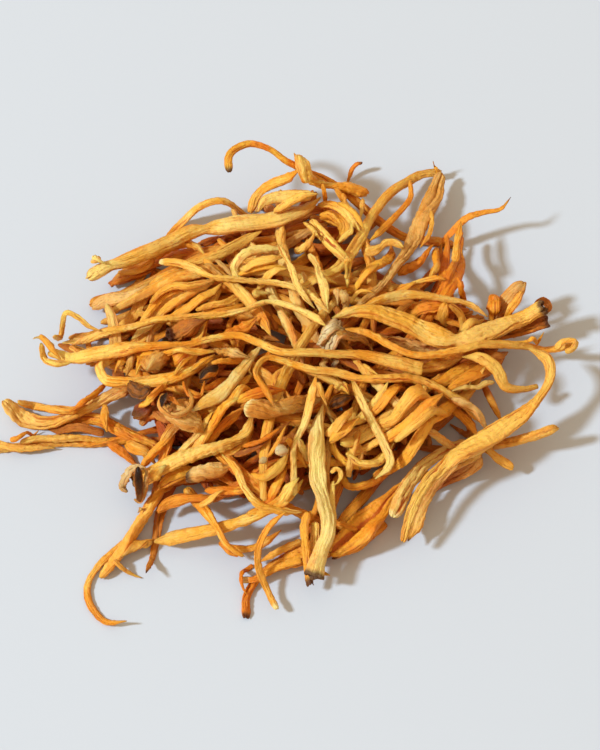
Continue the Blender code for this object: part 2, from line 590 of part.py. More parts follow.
def stem_corners(laid):
    """All corners of a stem: its rings from first to last, and the points that close its two ends."""
    rings = []
    for i in range(len(laid.centres)):
        points, ahead = ring_points(laid, i)
        rings.append(points)
        if i == 0:
            first_tip = laid.centres[0] - ahead * laid.half_width[0] * TIP_REACH
    last_tip = laid.centres[-1] + ahead * laid.half_width[-1] * TIP_REACH
    tips = [first_tip, last_tip]
    for tip in tips:
        tip[2] = max(tip[2], PRESSED)
    return rings, tips


def build_stem(laid, shift, collection, materials):
    """A closed tube through the rings of a stem."""
    rings, tips = stem_corners(laid)
    mesh = bpy.data.meshes.new(laid.stem.name)
    shape = bmesh.new()
    loops = [[shape.verts.new((point - shift) * MM) for point in ring] for ring in rings]
    for near, far in zip(loops, loops[1:]):
        for k in range(SIDES):
            after = (k + 1) % SIDES
            shape.faces.new((near[k], near[after], far[after], far[k]))
    for loop, tip in ((loops[0], tips[0]), (loops[-1], tips[1])):
        point = shape.verts.new((tip - shift) * MM)
        for k in range(SIDES):
            shape.faces.new((point, loop[k], loop[(k + 1) % SIDES]))
    bmesh.ops.recalc_face_normals(shape, faces=shape.faces)
    shape.to_mesh(mesh)
    shape.free()
    mesh.shade_smooth()
    stem = bpy.data.objects.new(laid.stem.name, mesh)
    mesh.materials.append(materials[laid.stem.tone])
    collection.objects.link(stem)
    return stem


def grow_fork(stem, fork):
    """Makes a side stem one body with the stem that it leaves."""
    fork.hide_render = True
    fork.display_type = "WIRE"
    union = stem.modifiers.new("side_stem", "BOOLEAN")
    union.operation = "UNION"
    union.solver = "EXACT"
    union.object = fork


def make_materials():
    made = {}
    for tone, (colour, roughness) in TONES.items():
        material = bpy.data.materials.new(f"{tone}_cordyceps")
        material.use_nodes = True
        shader = material.node_tree.nodes["Principled BSDF"]
        shader.inputs["Base Color"].default_value = (*colour, 1)
        shader.inputs["Roughness"].default_value = roughness
        made[tone] = material
    return made


def lay_stems():
    """Every stem in place, from the lowest up, each with a list of its side stems."""
    ground = HeightMap()
    forks = plan_forks()
    laid = []
    for order, stem in enumerate(STEMS):
        layer = max(0, order + 1 - TABLE_STEMS) / (len(STEMS) - TABLE_STEMS)
        placed, sides = LaidStem(stem, ground, layer), []
        for point, fork in forks[stem.name]:
            side = LaidStem(fork, ground, layer * FORK_LOW, placed.height_at(point))
            sides.append(side)
        for part in [placed, *sides]:
            part.mark(ground)
        laid.append((placed, sides))
    return laid


def plan_middle(laid):
    """The middle of the clump's footprint, which becomes the origin."""
    points = []
    for stem, _ in laid:
        rings, tips = stem_corners(stem)
        points += rings + [np.array(tips)]
    points = np.vstack(points)
    middle = (points.min(axis=0) + points.max(axis=0)) / 2
    return np.array([middle[0], middle[1], 0.0])


def main():
    for obj in list(bpy.data.objects):
        bpy.data.objects.remove(obj)
    clump = bpy.data.collections.new("dried_cordyceps")
    side_stems = bpy.data.collections.new("side_stems")
    for collection in (clump, side_stems):
        bpy.context.scene.collection.children.link(collection)
    materials = make_materials()
    laid = lay_stems()
    shift = plan_middle(laid)
    for stem, sides in laid:
        built = build_stem(stem, shift, clump, materials)
        for side in sides:
            grow_fork(built, build_stem(side, shift, side_stems, materials))


main()
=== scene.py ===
"""The looks of a dried cordyceps clump: every stem a wrinkled, furrowed, half hollow ribbon.

The stems of the frame are worked out again from their routes, so each ribbon lies where its solid lies. The
smaller stems between and below them are laid in the same way, and have no solids of their own. Lengths in the
tables are millimetres; the pieces are built in metres, +Z up.
"""

import math
from dataclasses import dataclass, field

import bpy
import numpy as np
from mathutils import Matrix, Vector


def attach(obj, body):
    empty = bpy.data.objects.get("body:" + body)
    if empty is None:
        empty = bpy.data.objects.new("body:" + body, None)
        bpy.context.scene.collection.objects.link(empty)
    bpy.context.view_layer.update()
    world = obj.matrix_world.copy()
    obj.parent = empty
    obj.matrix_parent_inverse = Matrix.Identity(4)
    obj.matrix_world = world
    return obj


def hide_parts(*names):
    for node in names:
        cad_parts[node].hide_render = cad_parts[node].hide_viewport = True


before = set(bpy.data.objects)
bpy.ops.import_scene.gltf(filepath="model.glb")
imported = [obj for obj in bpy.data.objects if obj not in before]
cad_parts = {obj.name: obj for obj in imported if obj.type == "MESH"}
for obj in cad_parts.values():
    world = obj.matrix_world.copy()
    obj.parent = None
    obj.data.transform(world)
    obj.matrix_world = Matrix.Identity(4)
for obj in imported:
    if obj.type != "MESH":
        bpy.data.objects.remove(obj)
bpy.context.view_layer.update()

MM = 0.001

# Where the random draws of each kind start.
FORK_DRAWS = 8
UNDER_DRAWS = 4
STEM_SKIN_DRAWS = 100
SMALL_SKIN_DRAWS = 500
UNDER_SKIN_DRAWS = 900

# How the photo sees the clump.
PHOTO_WIDE = 600  # its pixels
PHOTO_MIDDLE = (300.0, 375.0)
PIXEL_MM = 0.21  # one pixel, measured on the table at the middle
LOOK_DOWN = math.radians(61.0)  # how far the view tips below the horizon
EYE_AWAY = 560.0  # from the eye to the table's middle
EYE = np.array([0.0, -EYE_AWAY * math.cos(LOOK_DOWN), EYE_AWAY * math.sin(LOOK_DOWN)])

# How high the dried stems prop each other up: a dome over the table, the topmost stems on its crown.
HEAP_HIGH = 17.0
HEAP_MIDDLE = (2.0, -2.0)  # its crown in plan
HEAP_REACH = (60.0, 54.0)  # its half size in plan
TABLE_STEMS = 14  # the stems that lie on the table, with the heap's weight on them

# How stems lie on each other.
GAP = 0.30  # air between two stems that touch
CELL = 0.25  # a square of the height map
MAP_HALF = 80.0  # the height map's half side
ROW_STEP = 0.5  # between the places where a stem is held clear of the ones below
ACROSS = np.linspace(-0.98, 0.98, 9)  # those places across a stem, in half widths
MARK_STEP = 0.6 * CELL  # between the places where a stem is drawn on the height map
MARK_ACROSS = np.linspace(-0.995, 0.995, 25)
FIRST_HEIGHT = 4.0  # where a stem is thought to lie before it is laid
LAY_ROUNDS = 4  # rounds of laying a stem and tracing it again at its new height
REST_ROUNDS = 2  # rounds of finding its supports and easing it onto them
SAG_ROUNDS = 60  # rounds of easing a stem down onto its supports
PUSH_ROUNDS = 3  # rounds of pushing it up again off them
SAG = 0.03  # how far a stem sinks between its supports, in each round
FORK_SAG = 0.15  # the same for a side stem, which is limp
TIP_DROOP = 0.25  # how far a free end bends down, per ring
TIP_RISE = 0.5  # how far a free end still climbs, per ring
RING_STEP = 4.8  # mm between the rings that the stems of the frame have
FEWEST_RINGS = 6
FEWEST_ROWS = 8
CURVE_STEPS = 12  # between two points of a route, where its curve is worked out

# The side stems, which fork off the stems of the heap's lower part.
FORKED_STEMS = 36  # the lowest stems, which fork where they run inside the heap
TWICE_FORKED = 14  # of those, the lowest, which fork twice
FORK_POINTS = 7  # most points of a side stem's route
FORK_FEWEST = 4  # and the fewest, where it would leave the heap
FORK_TURN = (20.0, 80.0)  # degrees away from the run of its stem
FORK_BEND = (-60.0, 60.0)  # degrees that it bends on its way
FORK_LONG = (28.0, 52.0)  # mm
FORK_WIDE = (2.7, 3.7)  # mm
FORK_TAPER = (0.8, 1.0, 1.0, 0.5)  # shares of that width along it
FORK_SPOTS = 30  # places along a route where the ground that it covers is counted
FORK_WAYS = 100  # ways of forking that are weighed up for each stem
LEAST_GAIN = 12.0  # squares of bare ground that a side stem covers at least
FORK_LOW = 0.35  # how high it keeps, as a share of its stem's height in the heap
FORK_RING_STEP = 7.2  # mm between its rings
FORK_SLIM = 0.78  # how much painted shade, in umber, its skin has
FORK_PAINTED_SHADE = 0.22  # how umber its skin is
PATCH = 5.0  # side of the squares of the photo in which the heap's bare ground is counted, in its pixels
HIGH_STEMS_FROM = 30  # stems from here on lie high over the table
HALF_BARE = 0.5  # how bare the ground below a high stem counts
HEAP_EDGE = [  # where the heap is dense in the photo, in its pixels
    (106, 284), (128, 270), (165, 258), (205, 240), (250, 227), (290, 222), (318, 208), (345, 204),
    (366, 218), (372, 236), (378, 262), (384, 290), (404, 286), (424, 274), (446, 270), (464, 300),
    (486, 318), (508, 332), (500, 348), (492, 366), (478, 386), (448, 408), (420, 436), (396, 462),
    (372, 482), (345, 486), (332, 500), (328, 540), (318, 556), (306, 552), (298, 508), (270, 506),
    (246, 500), (236, 486), (214, 496), (196, 486), (168, 484), (152, 478), (152, 462), (165, 442),
    (158, 424), (172, 408), (150, 402), (128, 390), (110, 380), (98, 370), (72, 358), (50, 347),
    (74, 337), (100, 325), (98, 306), (120, 292),
]

# The smaller stems between the stems of the frame.
HIGHEST = 17.6  # mm that the axis of one reaches
OPEN_SKY = 99.0  # mm, over squares with nothing laid later
DUCK_ROUNDS = 3  # rounds of lowering it below the stems laid later

# The stems deep in the heap, which hold up the ones that show.
UNDER_COPIES = 4  # for each stem of the frame
TABLE_COPIES = 2  # for a stem that lies on the table, or barely above it
BARELY = 0.1  # share of the heap's height
UNDER_OFFSET = (9.0, 34.0)  # photo pixels to the side of it
UNDER_TURN = 0.12  # radians away from it, as a usual amount
UNDER_SLIDE = 0.12  # the same along it, as a share of its length
UNDER_GROW = (0.8, 1.25)  # its length beside it
UNDER_SPOTS = 40  # places along a route where it is checked
UNDER_KEEP = 5  # each fifth of them is a point of the route
UNDER_SHARE = (0.05, 0.8)  # of its height
UNDER_WIDTH = (1.3, 2.4)  # mm
UNDER_LOWEST = 0.9  # mm
UNDER_PAINTED_SHADE = 0.30  # how much painted shade, in umber, their skin has
UNDER_TONES = {"gold": 0.34, "orange": 0.50, "brown": 0.16}  # how often each comes
BED_STEMS = 110  # those that cover the table within the heap
BED_REACH = (22.0, 62.0)  # photo pixels to each side of their middles
BED_TURN = 0.25  # radians away from the stems there, as a usual amount
BED_BEND = 0.5  # radians from end to end, as a usual amount
BED_POINTS = 9
BED_SHARE = (0.0, 0.34)  # of the heap's height
BED_WIDTH = (1.6, 2.8)  # mm
# the deep finish is orange with painted shade, darker for stems low in the heap
BED_TONES = {"deep": 0.62, "orange": 0.25, "brown": 0.13}
FEWEST_POINTS = 3  # of a route that is laid

# How finely the ribbons are meshed.
FINE_STEP = 0.46  # between rings of a stem
FINE_SIDES = 64  # most sides round it
TWIG_STEP = 0.5  # of a smaller stem
TWIG_SIDES = 44
UNDER_STEP = 1.0  # of a stem deep in the heap
UNDER_SIDES = 12
FACES_PER_MM = 15.0  # sides round a stem, for each mm of its width
FEWEST_SIDES = 20
STEMS_APART = 100.0  # mm between the places of two stems in the noise that colours them
SMALL_APART = 50.0  # the same for two smaller stems


@dataclass
class Stem:
    """One stem: where it runs in the photo, and how wide it is there."""

    name: str
    tone: str
    route: list  # (across, down) in photo pixels, from one end to the other
    widths: list  # mm, spread evenly along the route
    flat: float = 0.62  # thickness as a share of width
    lifts: dict = field(default_factory=dict)  # route point: least height of the axis, mm
    ends: str = "worn point"  # how its two ends are closed
    fold: float = 0.32  # how strongly the ribbon curls in across its width
    furrow: float = 1.0  # how deep its furrows are, as a share of the usual
    twist: float = 1.0  # how much it turns about itself, as a share of the usual
    rough: float = 1.0  # how high its small wrinkles stand, as a share of the usual
    cream: float = 0.0  # how cream it is all along, from 0 to 1


STEMS = [
    # Lowest: stems that lie on the table.
    Stem("left_floor_stem", "gold", [(-8, 450), (15, 447), (35, 444), (60, 443), (90, 443), (120, 441),
         (150, 441), (185, 440), (222, 428)], [1.7, 1.9, 1.7, 1.8, 1.9, 2.1, 1.9, 1.6]),
    Stem("left_low_stem", "orange", [(55, 428), (75, 420), (90, 418), (108, 425), (130, 435), (155, 447),
         (185, 458), (215, 470)], [1.0, 2.6, 2.7, 2.5, 2.3, 2.1, 1.6], ends="point point"),
    Stem("right_floor_stem", "gold", [(557, 427), (540, 434), (520, 440), (500, 443), (480, 449), (455, 452),
         (430, 448), (405, 440)], [2.2, 2.3, 2.6, 2.5, 2.0, 1.8, 1.6], lifts={0: 8.0, 1: 6.5, 2: 5.0}),
    Stem("right_stub_stem", "gold", [(513, 468), (503, 462), (495, 455), (486, 447), (470, 435), (450, 424)],
         [2.0, 2.0, 1.8, 1.6, 1.3]),
    Stem("lobed_floor_stem", "tan", [(481, 464), (472, 468), (461, 473), (446, 481), (432, 490), (416, 501)],
         [3.6, 4.2, 2.7, 1.7, 1.4]),
    Stem("bottom_orange_stem", "orange", [(246, 617), (244, 604), (250, 592), (257, 580), (266, 570),
         (282, 562), (300, 556), (322, 550), (342, 545)], [2.1, 1.6, 1.7, 2.0, 2.6, 3.9, 4.9, 4.9, 3.6],
         ends="worn-dark point", furrow=1.5),
    Stem("hooked_stem", "orange", [(229, 172), (229, 158), (236, 148), (250, 143), (265, 147), (280, 156),
         (297, 166), (318, 175), (340, 188), (358, 203), (378, 221), (398, 234), (420, 240), (445, 243),
         (463, 249)], [1.9, 1.6, 1.3, 1.5, 1.7, 1.9, 2.0, 2.0, 2.1, 1.8],
         lifts={0: 12.0, 1: 13.0, 2: 13.3, 3: 13.3, 4: 12.8, 5: 11.5, 6: 9.5}, ends="worn-dark point",
         twist=0.6),
    Stem("right_under_stem", "orange", [(340, 465), (342, 480), (353, 488), (370, 483), (388, 469),
         (402, 453), (420, 438), (437, 425), (452, 412), (470, 396)], [1.3, 1.6, 2.0, 2.3, 2.4, 2.3, 1.9],
         ends="point point"),
    Stem("right_bundle_stem", "orange", [(425, 412), (440, 400), (458, 388), (475, 377), (493, 367),
         (505, 355)], [2.0, 2.6, 2.8, 2.6, 2.0], ends="point point", furrow=1.3),
    Stem("dark_tip_stem", "brown", [(185, 470), (172, 487), (162, 508), (158, 528), (154, 548), (150, 563),
         (146, 573)], [1.7, 2.0, 2.1, 1.8, 1.4, 1.0], lifts={6: 4.0}, ends="point point-dark", furrow=1.5),
    Stem("lower_left_hook_stem", "gold", [(127, 621), (112, 624), (98, 616), (90, 604), (87, 590), (92, 575),
         (102, 562), (116, 550), (132, 535), (148, 518)], [1.0, 1.3, 1.5, 1.5, 1.5, 1.7, 1.5],
         lifts={0: 2.5}, ends="point point", twist=0.6),
    Stem("deep_orange_stem", "orange", [(258, 372), (280, 376), (302, 384), (322, 392), (345, 398)],
         [2.5, 3.6, 3.2, 2.5, 1.8]),
    Stem("wrinkled_stem", "tan", [(190, 349), (172, 356), (156, 362), (141, 370), (127, 378)],
         [2.5, 3.6, 3.8, 3.2, 1.8], ends="worn worn", furrow=1.5, rough=3.0),
    Stem("back_right_stem", "orange", [(441, 248), (439, 262), (431, 276), (420, 288), (405, 300),
         (388, 310), (368, 322)], [1.9, 2.0, 1.9, 1.8, 1.7, 1.5], ends="point point"),
    # Middle of the tangle.
    Stem("shrivelled_stem", "brown", [(168, 334), (180, 329), (196, 326), (214, 324), (236, 327), (256, 333),
         (280, 341)], [2.3, 3.0, 2.6, 2.2, 1.9, 1.5], ends="open-dark point", furrow=1.6, rough=2.6),
    Stem("left_orange_stem", "gold", [(90, 304), (110, 298), (130, 293), (150, 282), (170, 271), (195, 262),
         (222, 252), (250, 240), (270, 232)], [2.5, 2.0, 1.9, 1.9, 2.1, 2.3, 1.7], fold=0.5),
    Stem("back_left_stem", "gold", [(183, 272), (200, 263), (225, 255), (250, 248), (272, 239), (292, 230)],
         [1.5, 2.2, 2.3, 2.0, 1.5]),
    Stem("left_rising_stem", "gold", [(70, 339), (98, 334), (122, 327), (136, 312), (146, 295), (160, 280),
         (180, 270), (202, 262)], [1.7, 1.9, 2.1, 2.5, 2.3, 1.9, 1.7]),
    Stem("arched_stem", "pale", [(165, 242), (175, 228), (190, 214), (212, 204), (232, 206), (246, 216),
         (262, 230)], [1.3, 1.6, 1.7, 1.5, 1.4, 1.3], lifts={2: 5.5, 3: 6.0}),
    Stem("top_fan_stem", "pale", [(256, 212), (264, 200), (280, 191), (298, 187), (314, 187)],
         [1.9, 2.4, 2.6, 2.7, 2.4], lifts={0: 3.0, 4: 7.0}, ends="point worn", rough=1.6),
    Stem("pale_nub_stem", "gold", [(294, 153), (299, 163), (306, 174), (318, 183), (334, 186), (350, 188),
         (367, 194)], [1.3, 2.3, 2.3, 2.0, 2.7, 2.8], lifts={0: 8.0, 6: 3.0}, ends="point worn", rough=1.5),
    Stem("long_curved_stem", "gold", [(290, 286), (312, 280), (333, 272), (347, 259), (357, 243), (366, 227),
         (377, 209), (391, 193), (408, 180), (425, 173), (441, 172)],
         [1.6, 2.0, 2.5, 2.5, 2.2, 2.1, 2.1, 2.1, 1.8], lifts={8: 3.5, 9: 3.0, 10: 2.4}, ends="point worn",
         furrow=0.8, twist=0.6),
    Stem("right_whisker_stem", "orange", [(511, 197), (503, 208), (488, 211), (470, 216), (459, 224),
         (448, 235), (437, 247)], [0.6, 0.9, 1.2, 1.5, 1.4, 1.1],
         lifts={0: 9.8, 1: 9.3, 2: 8.6, 3: 8.0, 4: 7.0}, ends="point-dark point", twist=0.5),
    Stem("right_upright_stem", "orange", [(462, 228), (460, 241), (459, 254), (461, 266), (456, 278),
         (448, 292), (438, 308)], [1.6, 1.8, 2.0, 2.7, 2.6, 1.9], lifts={0: 5.2, 1: 5.8, 2: 6.4, 3: 6.6},
         ends="worn worn", fold=0.2, furrow=0.6, twist=0.5),
    Stem("pale_end_stem", "tan", [(524, 282), (515, 292), (506, 304), (497, 317), (484, 328)],
         [2.2, 3.8, 4.2, 3.5, 2.2], lifts={0: 10.0, 1: 9.0}, fold=0.4, furrow=1.7),
    Stem("split_end_stem", "brown", [(548, 321), (530, 326), (512, 331), (490, 338), (468, 345), (445, 352)],
         [2.6, 3.0, 2.9, 2.3, 1.7], lifts={0: 7.5, 1: 7.0}, ends="open-dark point", furrow=1.6),
    Stem("spoke_stem", "gold", [(342, 442), (360, 431), (378, 421), (396, 411), (414, 399), (432, 385),
         (448, 372)], [2.0, 2.1, 2.1, 2.1, 1.9, 1.7]),
    Stem("lower_loop_stem", "orange", [(346, 424), (335, 436), (334, 450), (344, 462), (358, 467),
         (372, 463), (386, 452), (400, 438)], [1.3, 1.5, 1.6, 1.8, 1.9, 1.8, 1.5], ends="point point",
         twist=0.6),
    Stem("lower_orange_stem", "orange", [(331, 553), (344, 542), (357, 530), (370, 518), (383, 506),
         (396, 493), (411, 481), (428, 471)], [3.6, 5.1, 5.5, 5.1, 3.9, 2.6, 2.2, 2.0], flat=0.5,
         furrow=1.4),
    Stem("lower_pale_stem", "pale", [(393, 517), (400, 502), (408, 487), (418, 472), (433, 458), (455, 448),
         (478, 440)], [2.6, 3.2, 2.9, 2.5, 2.6, 2.3], ends="worn-pale point", rough=1.4),
    Stem("lower_right_stem", "pale", [(489, 446), (470, 457), (451, 468), (435, 481), (426, 495), (421, 511),
         (415, 527), (408, 541)], [1.8, 2.3, 2.5, 2.5, 2.7, 2.7, 1.5], lifts={7: 3.5},
         ends="point point-dark", furrow=1.3),
    Stem("front_pale_stem", "pale", [(154, 542), (175, 537), (200, 532), (225, 528), (246, 520), (264, 511),
         (282, 500), (300, 488)], [2.9, 2.9, 2.5, 2.4, 2.3, 1.9, 1.7], ends="point point", fold=0.15,
         furrow=0.6, twist=0.4),
    Stem("front_curl_stem", "gold", [(186, 488), (199, 505), (211, 519), (221, 533), (227, 544), (235, 553),
         (243, 553)], [2.3, 2.5, 2.2, 1.5, 1.2, 1.0], ends="worn worn"),
    Stem("lower_left_stem", "gold", [(184, 466), (166, 484), (153, 502), (140, 522), (127, 542), (116, 558),
         (101, 578)], [2.1, 2.4, 2.5, 2.5, 2.3, 1.5], ends="point worn", furrow=0.8),
    Stem("left_arm_stem", "pale", [(138, 385), (116, 394), (95, 404), (75, 414), (52, 422), (32, 421),
         (14, 412), (4, 401)], [2.5, 2.5, 2.4, 2.1, 2.9, 3.4, 2.4], lifts={7: 3.0}, ends="point worn",
         furrow=1.3, cream=0.3),
    Stem("bundle_stem", "gold", [(142, 466), (156, 451), (169, 436), (180, 422), (200, 413), (222, 404),
         (246, 397)], [1.7, 1.9, 2.0, 2.3, 2.3, 1.8]),
    Stem("left_bend_stem", "gold", [(119, 357), (105, 360), (99, 371), (107, 381), (130, 382), (158, 380),
         (180, 376), (198, 368), (216, 359)], [2.0, 2.0, 2.3, 2.5, 2.4, 2.2, 1.8], ends="point worn-dark",
         furrow=0.7),
    Stem("hollow_stem", "tan", [(175, 396), (179, 409), (190, 420), (206, 430)], [6.0, 5.8, 4.4, 2.4],
         flat=0.85, lifts={0: 11.0, 1: 8.0}, ends="open-dark point", furrow=1.2, rough=2.4),
    Stem("bundle_pale_stem", "pale", [(134, 482), (150, 472), (170, 461), (195, 453), (220, 448), (240, 438),
         (251, 424), (253, 411)], [4.4, 3.4, 3.1, 2.8, 2.5, 2.4, 1.9], ends="open-dark point", rough=1.3),
    Stem("pod_stem", "tan", [(244, 407), (262, 410), (280, 409), (300, 404), (322, 398)],
         [4.2, 4.5, 4.2, 3.3, 2.0], ends="round-pale point", furrow=0.7, rough=2.0, cream=0.3),
    Stem("broad_left_stem", "pale", [(132, 339), (147, 325), (160, 311), (178, 299), (198, 288), (217, 280)],
         [1.9, 2.4, 2.9, 3.2, 1.9], ends="point point", furrow=0.6),
    Stem("diagonal_stem", "gold", [(204, 259), (216, 271), (230, 283), (245, 296), (256, 309), (264, 322),
         (271, 336)], [1.3, 1.7, 2.4, 2.6, 2.4, 1.3]),
    Stem("tan_ribbon_stem", "tan", [(348, 333), (370, 337), (395, 343), (420, 348), (446, 347), (470, 341)],
         [1.9, 2.4, 2.7, 2.5, 2.0], furrow=1.8, rough=1.5),
    # The shared base, where the upper stems spring from.
    Stem("shared_base", "base", [(338, 322), (333, 331), (326, 340), (321, 348)], [2.4, 4.2, 3.9, 2.0],
         flat=0.9, ends="ragged ragged", furrow=1.6, rough=2.5),
    # Topmost stems.
    Stem("top_left_ribbon", "pale", [(88, 278), (110, 265), (150, 251), (200, 230), (250, 221), (290, 217),
         (310, 212), (321, 204)], [2.9, 3.2, 3.3, 3.5, 3.8, 3.6, 1.2], lifts={0: 8.0, 1: 8.0, 2: 8.0},
         fold=0.12, furrow=0.3, twist=0.4, rough=0.6),
    Stem("back_ribbon", "tan", [(441, 173), (438, 186), (430, 204), (420, 225), (412, 243), (403, 258),
         (392, 272), (380, 288), (368, 299), (352, 311)], [2.2, 3.9, 3.8, 3.2, 2.2, 1.7, 1.6, 1.6],
         lifts={0: 2.4, 1: 3.2}, furrow=1.3, rough=1.6),
    Stem("pale_blade_stem", "pale", [(194, 410), (209, 401), (225, 389), (240, 372), (252, 357), (264, 343)],
         [0.9, 2.9, 3.2, 2.4, 1.8, 1.2], ends="worn-pale point", fold=0.2, furrow=0.5, twist=0.3, rough=0.6,
         cream=0.5),
    Stem("upper_pale_stem", "pale", [(62, 343), (90, 338), (120, 330), (150, 322), (182, 317), (215, 315),
         (240, 311), (262, 303), (285, 304), (305, 312), (326, 326)],
         [1.3, 1.9, 1.5, 1.5, 1.6, 1.5, 1.3, 1.5, 1.7], ends="point point", furrow=0.8),
    Stem("long_pale_stem", "pale", [(160, 262), (178, 263), (194, 269), (211, 277), (240, 279), (270, 282),
         (295, 287), (315, 298), (330, 313)], [1.5, 1.8, 1.5, 1.3, 1.3, 1.5, 1.5], ends="worn-pale point",
         rough=1.5),
    Stem("gold_ribbon_stem", "gold", [(50, 352), (64, 357), (82, 357), (103, 353), (128, 348), (155, 346),
         (190, 344), (215, 338), (240, 335), (257, 342), (274, 351), (302, 353), (336, 353), (365, 355),
         (388, 361), (422, 369)], [1.6, 3.2, 3.3, 2.0, 1.5, 1.5, 1.5, 1.7, 1.8, 1.7, 2.9, 3.0],
         lifts={0: 9.0, 1: 9.0}, ends="ragged open", furrow=0.8, twist=0.4),
    Stem("crossing_stem", "pale", [(352, 377), (358, 393), (367, 412), (378, 432), (388, 452), (391, 462),
         (386, 471), (375, 479)], [1.7, 1.8, 1.8, 1.9, 1.8, 1.2], ends="point point"),
    Stem("centre_front_stem", "gold", [(274, 406), (268, 396), (262, 384), (256, 372), (257, 362),
         (267, 357), (283, 360), (301, 367), (325, 371), (346, 374), (370, 379), (398, 377), (420, 380),
         (440, 389), (460, 400), (476, 413), (487, 427)],
         [1.3, 1.4, 1.0, 1.3, 1.7, 1.8, 1.9, 2.1, 1.9, 1.7, 2.1, 1.9], ends="point point", twist=0.6),
    Stem("front_long_stem", "pale", [(316, 376), (312, 395), (307, 415), (301, 432), (294, 446), (290, 457),
         (293, 469), (298, 480), (294, 496)], [1.5, 1.8, 1.8, 1.4, 1.3, 1.4, 1.5], ends="point worn"),
    Stem("front_whip_stem", "pale", [(222, 455), (232, 465), (241, 476), (244, 488), (251, 498), (266, 507),
         (285, 511), (302, 512)], [1.3, 1.7, 1.7, 1.8, 1.8, 1.6, 1.3], ends="point point", twist=1.4),
    Stem("front_drip_stem", "gold", [(286, 511), (272, 521), (263, 537), (257, 555), (259, 569), (265, 582),
         (270, 597), (277, 609)], [1.2, 1.2, 1.4, 1.6, 1.4, 1.2, 1.5], lifts={7: 2.5},
         ends="point worn-pale"),
    Stem("front_ribbon", "pale", [(323, 404), (319, 425), (316, 448), (316, 468), (320, 488), (327, 508),
         (328, 527), (323, 545), (317, 562), (314, 577)], [1.1, 2.4, 3.6, 4.5, 3.8, 3.1, 3.0, 2.8, 3.6, 4.0],
         lifts={8: 5.5, 9: 5.5}, ends="point open-dark", furrow=0.8, twist=0.5, rough=0.7, cream=0.4),
    Stem("right_loop_stem", "gold", [(528, 348), (540, 353), (549, 363), (550, 377), (545, 391), (534, 404),
         (518, 418), (498, 431), (478, 443), (458, 456), (440, 469), (427, 483), (418, 498), (411, 513),
         (406, 528), (403, 541)], [1.7, 2.4, 2.0, 1.7, 2.6, 3.6, 3.9, 4.0, 3.6, 2.8, 2.4, 2.2, 2.2, 1.6],
         lifts={0: 11.0, 2: 10.5, 3: 9.5, 4: 8.5}, ends="point worn", fold=0.45, furrow=1.8, twist=0.6),
    Stem("right_pale_stem", "pale", [(361, 311), (375, 303), (390, 297), (410, 294), (430, 297), (450, 299),
         (466, 303), (480, 311), (488, 317)], [1.3, 2.1, 2.1, 1.6, 1.5, 1.6, 1.0]),
    Stem("right_ribbon", "pale", [(332, 318), (344, 314), (362, 312), (385, 314), (405, 322), (425, 332),
         (445, 340), (465, 342), (482, 335), (500, 326), (520, 318), (534, 312), (544, 307)],
         [1.5, 2.8, 3.6, 4.0, 4.5, 4.6, 4.4, 3.9, 3.0, 3.3], lifts={12: 11.0}, ends="point open-dark",
         furrow=1.7, twist=0.4),
    Stem("right_top_stem", "gold", [(345, 329), (365, 332), (385, 342), (402, 351), (420, 356), (440, 354),
         (460, 350), (485, 345), (510, 344), (530, 346), (548, 349), (562, 347), (574, 343)],
         [1.6, 1.6, 1.5, 1.5, 1.7, 1.8, 1.9, 1.7, 1.3, 1.9], lifts={12: 11.0}, ends="point worn",
         furrow=0.9),
]

# Painted shadow: near-black stems put in the darkest gaps between the stems, laid low and then once more
# above the stems that cover them.
PAINTED_SHADE_PLACES = [
    Stem("painted_shadow_gap", "painted_shadow", [(201, 379), (209, 373), (218, 367)], [1.6, 3.0, 1.4], ends="worn worn"),
    Stem("painted_shadow_mouth", "painted_shadow", [(131, 397), (139, 393), (149, 388)], [2.0, 3.4, 2.2], ends="worn worn",
         rough=2.0),
    Stem("painted_shadow_crumb", "painted_shadow", [(161, 404), (163, 397), (167, 392)], [1.0, 1.8, 1.0], ends="worn worn"),
    Stem("painted_shadow_well", "painted_shadow", [(330, 407), (338, 402), (350, 397)], [1.6, 3.0, 1.6], ends="worn worn"),
]

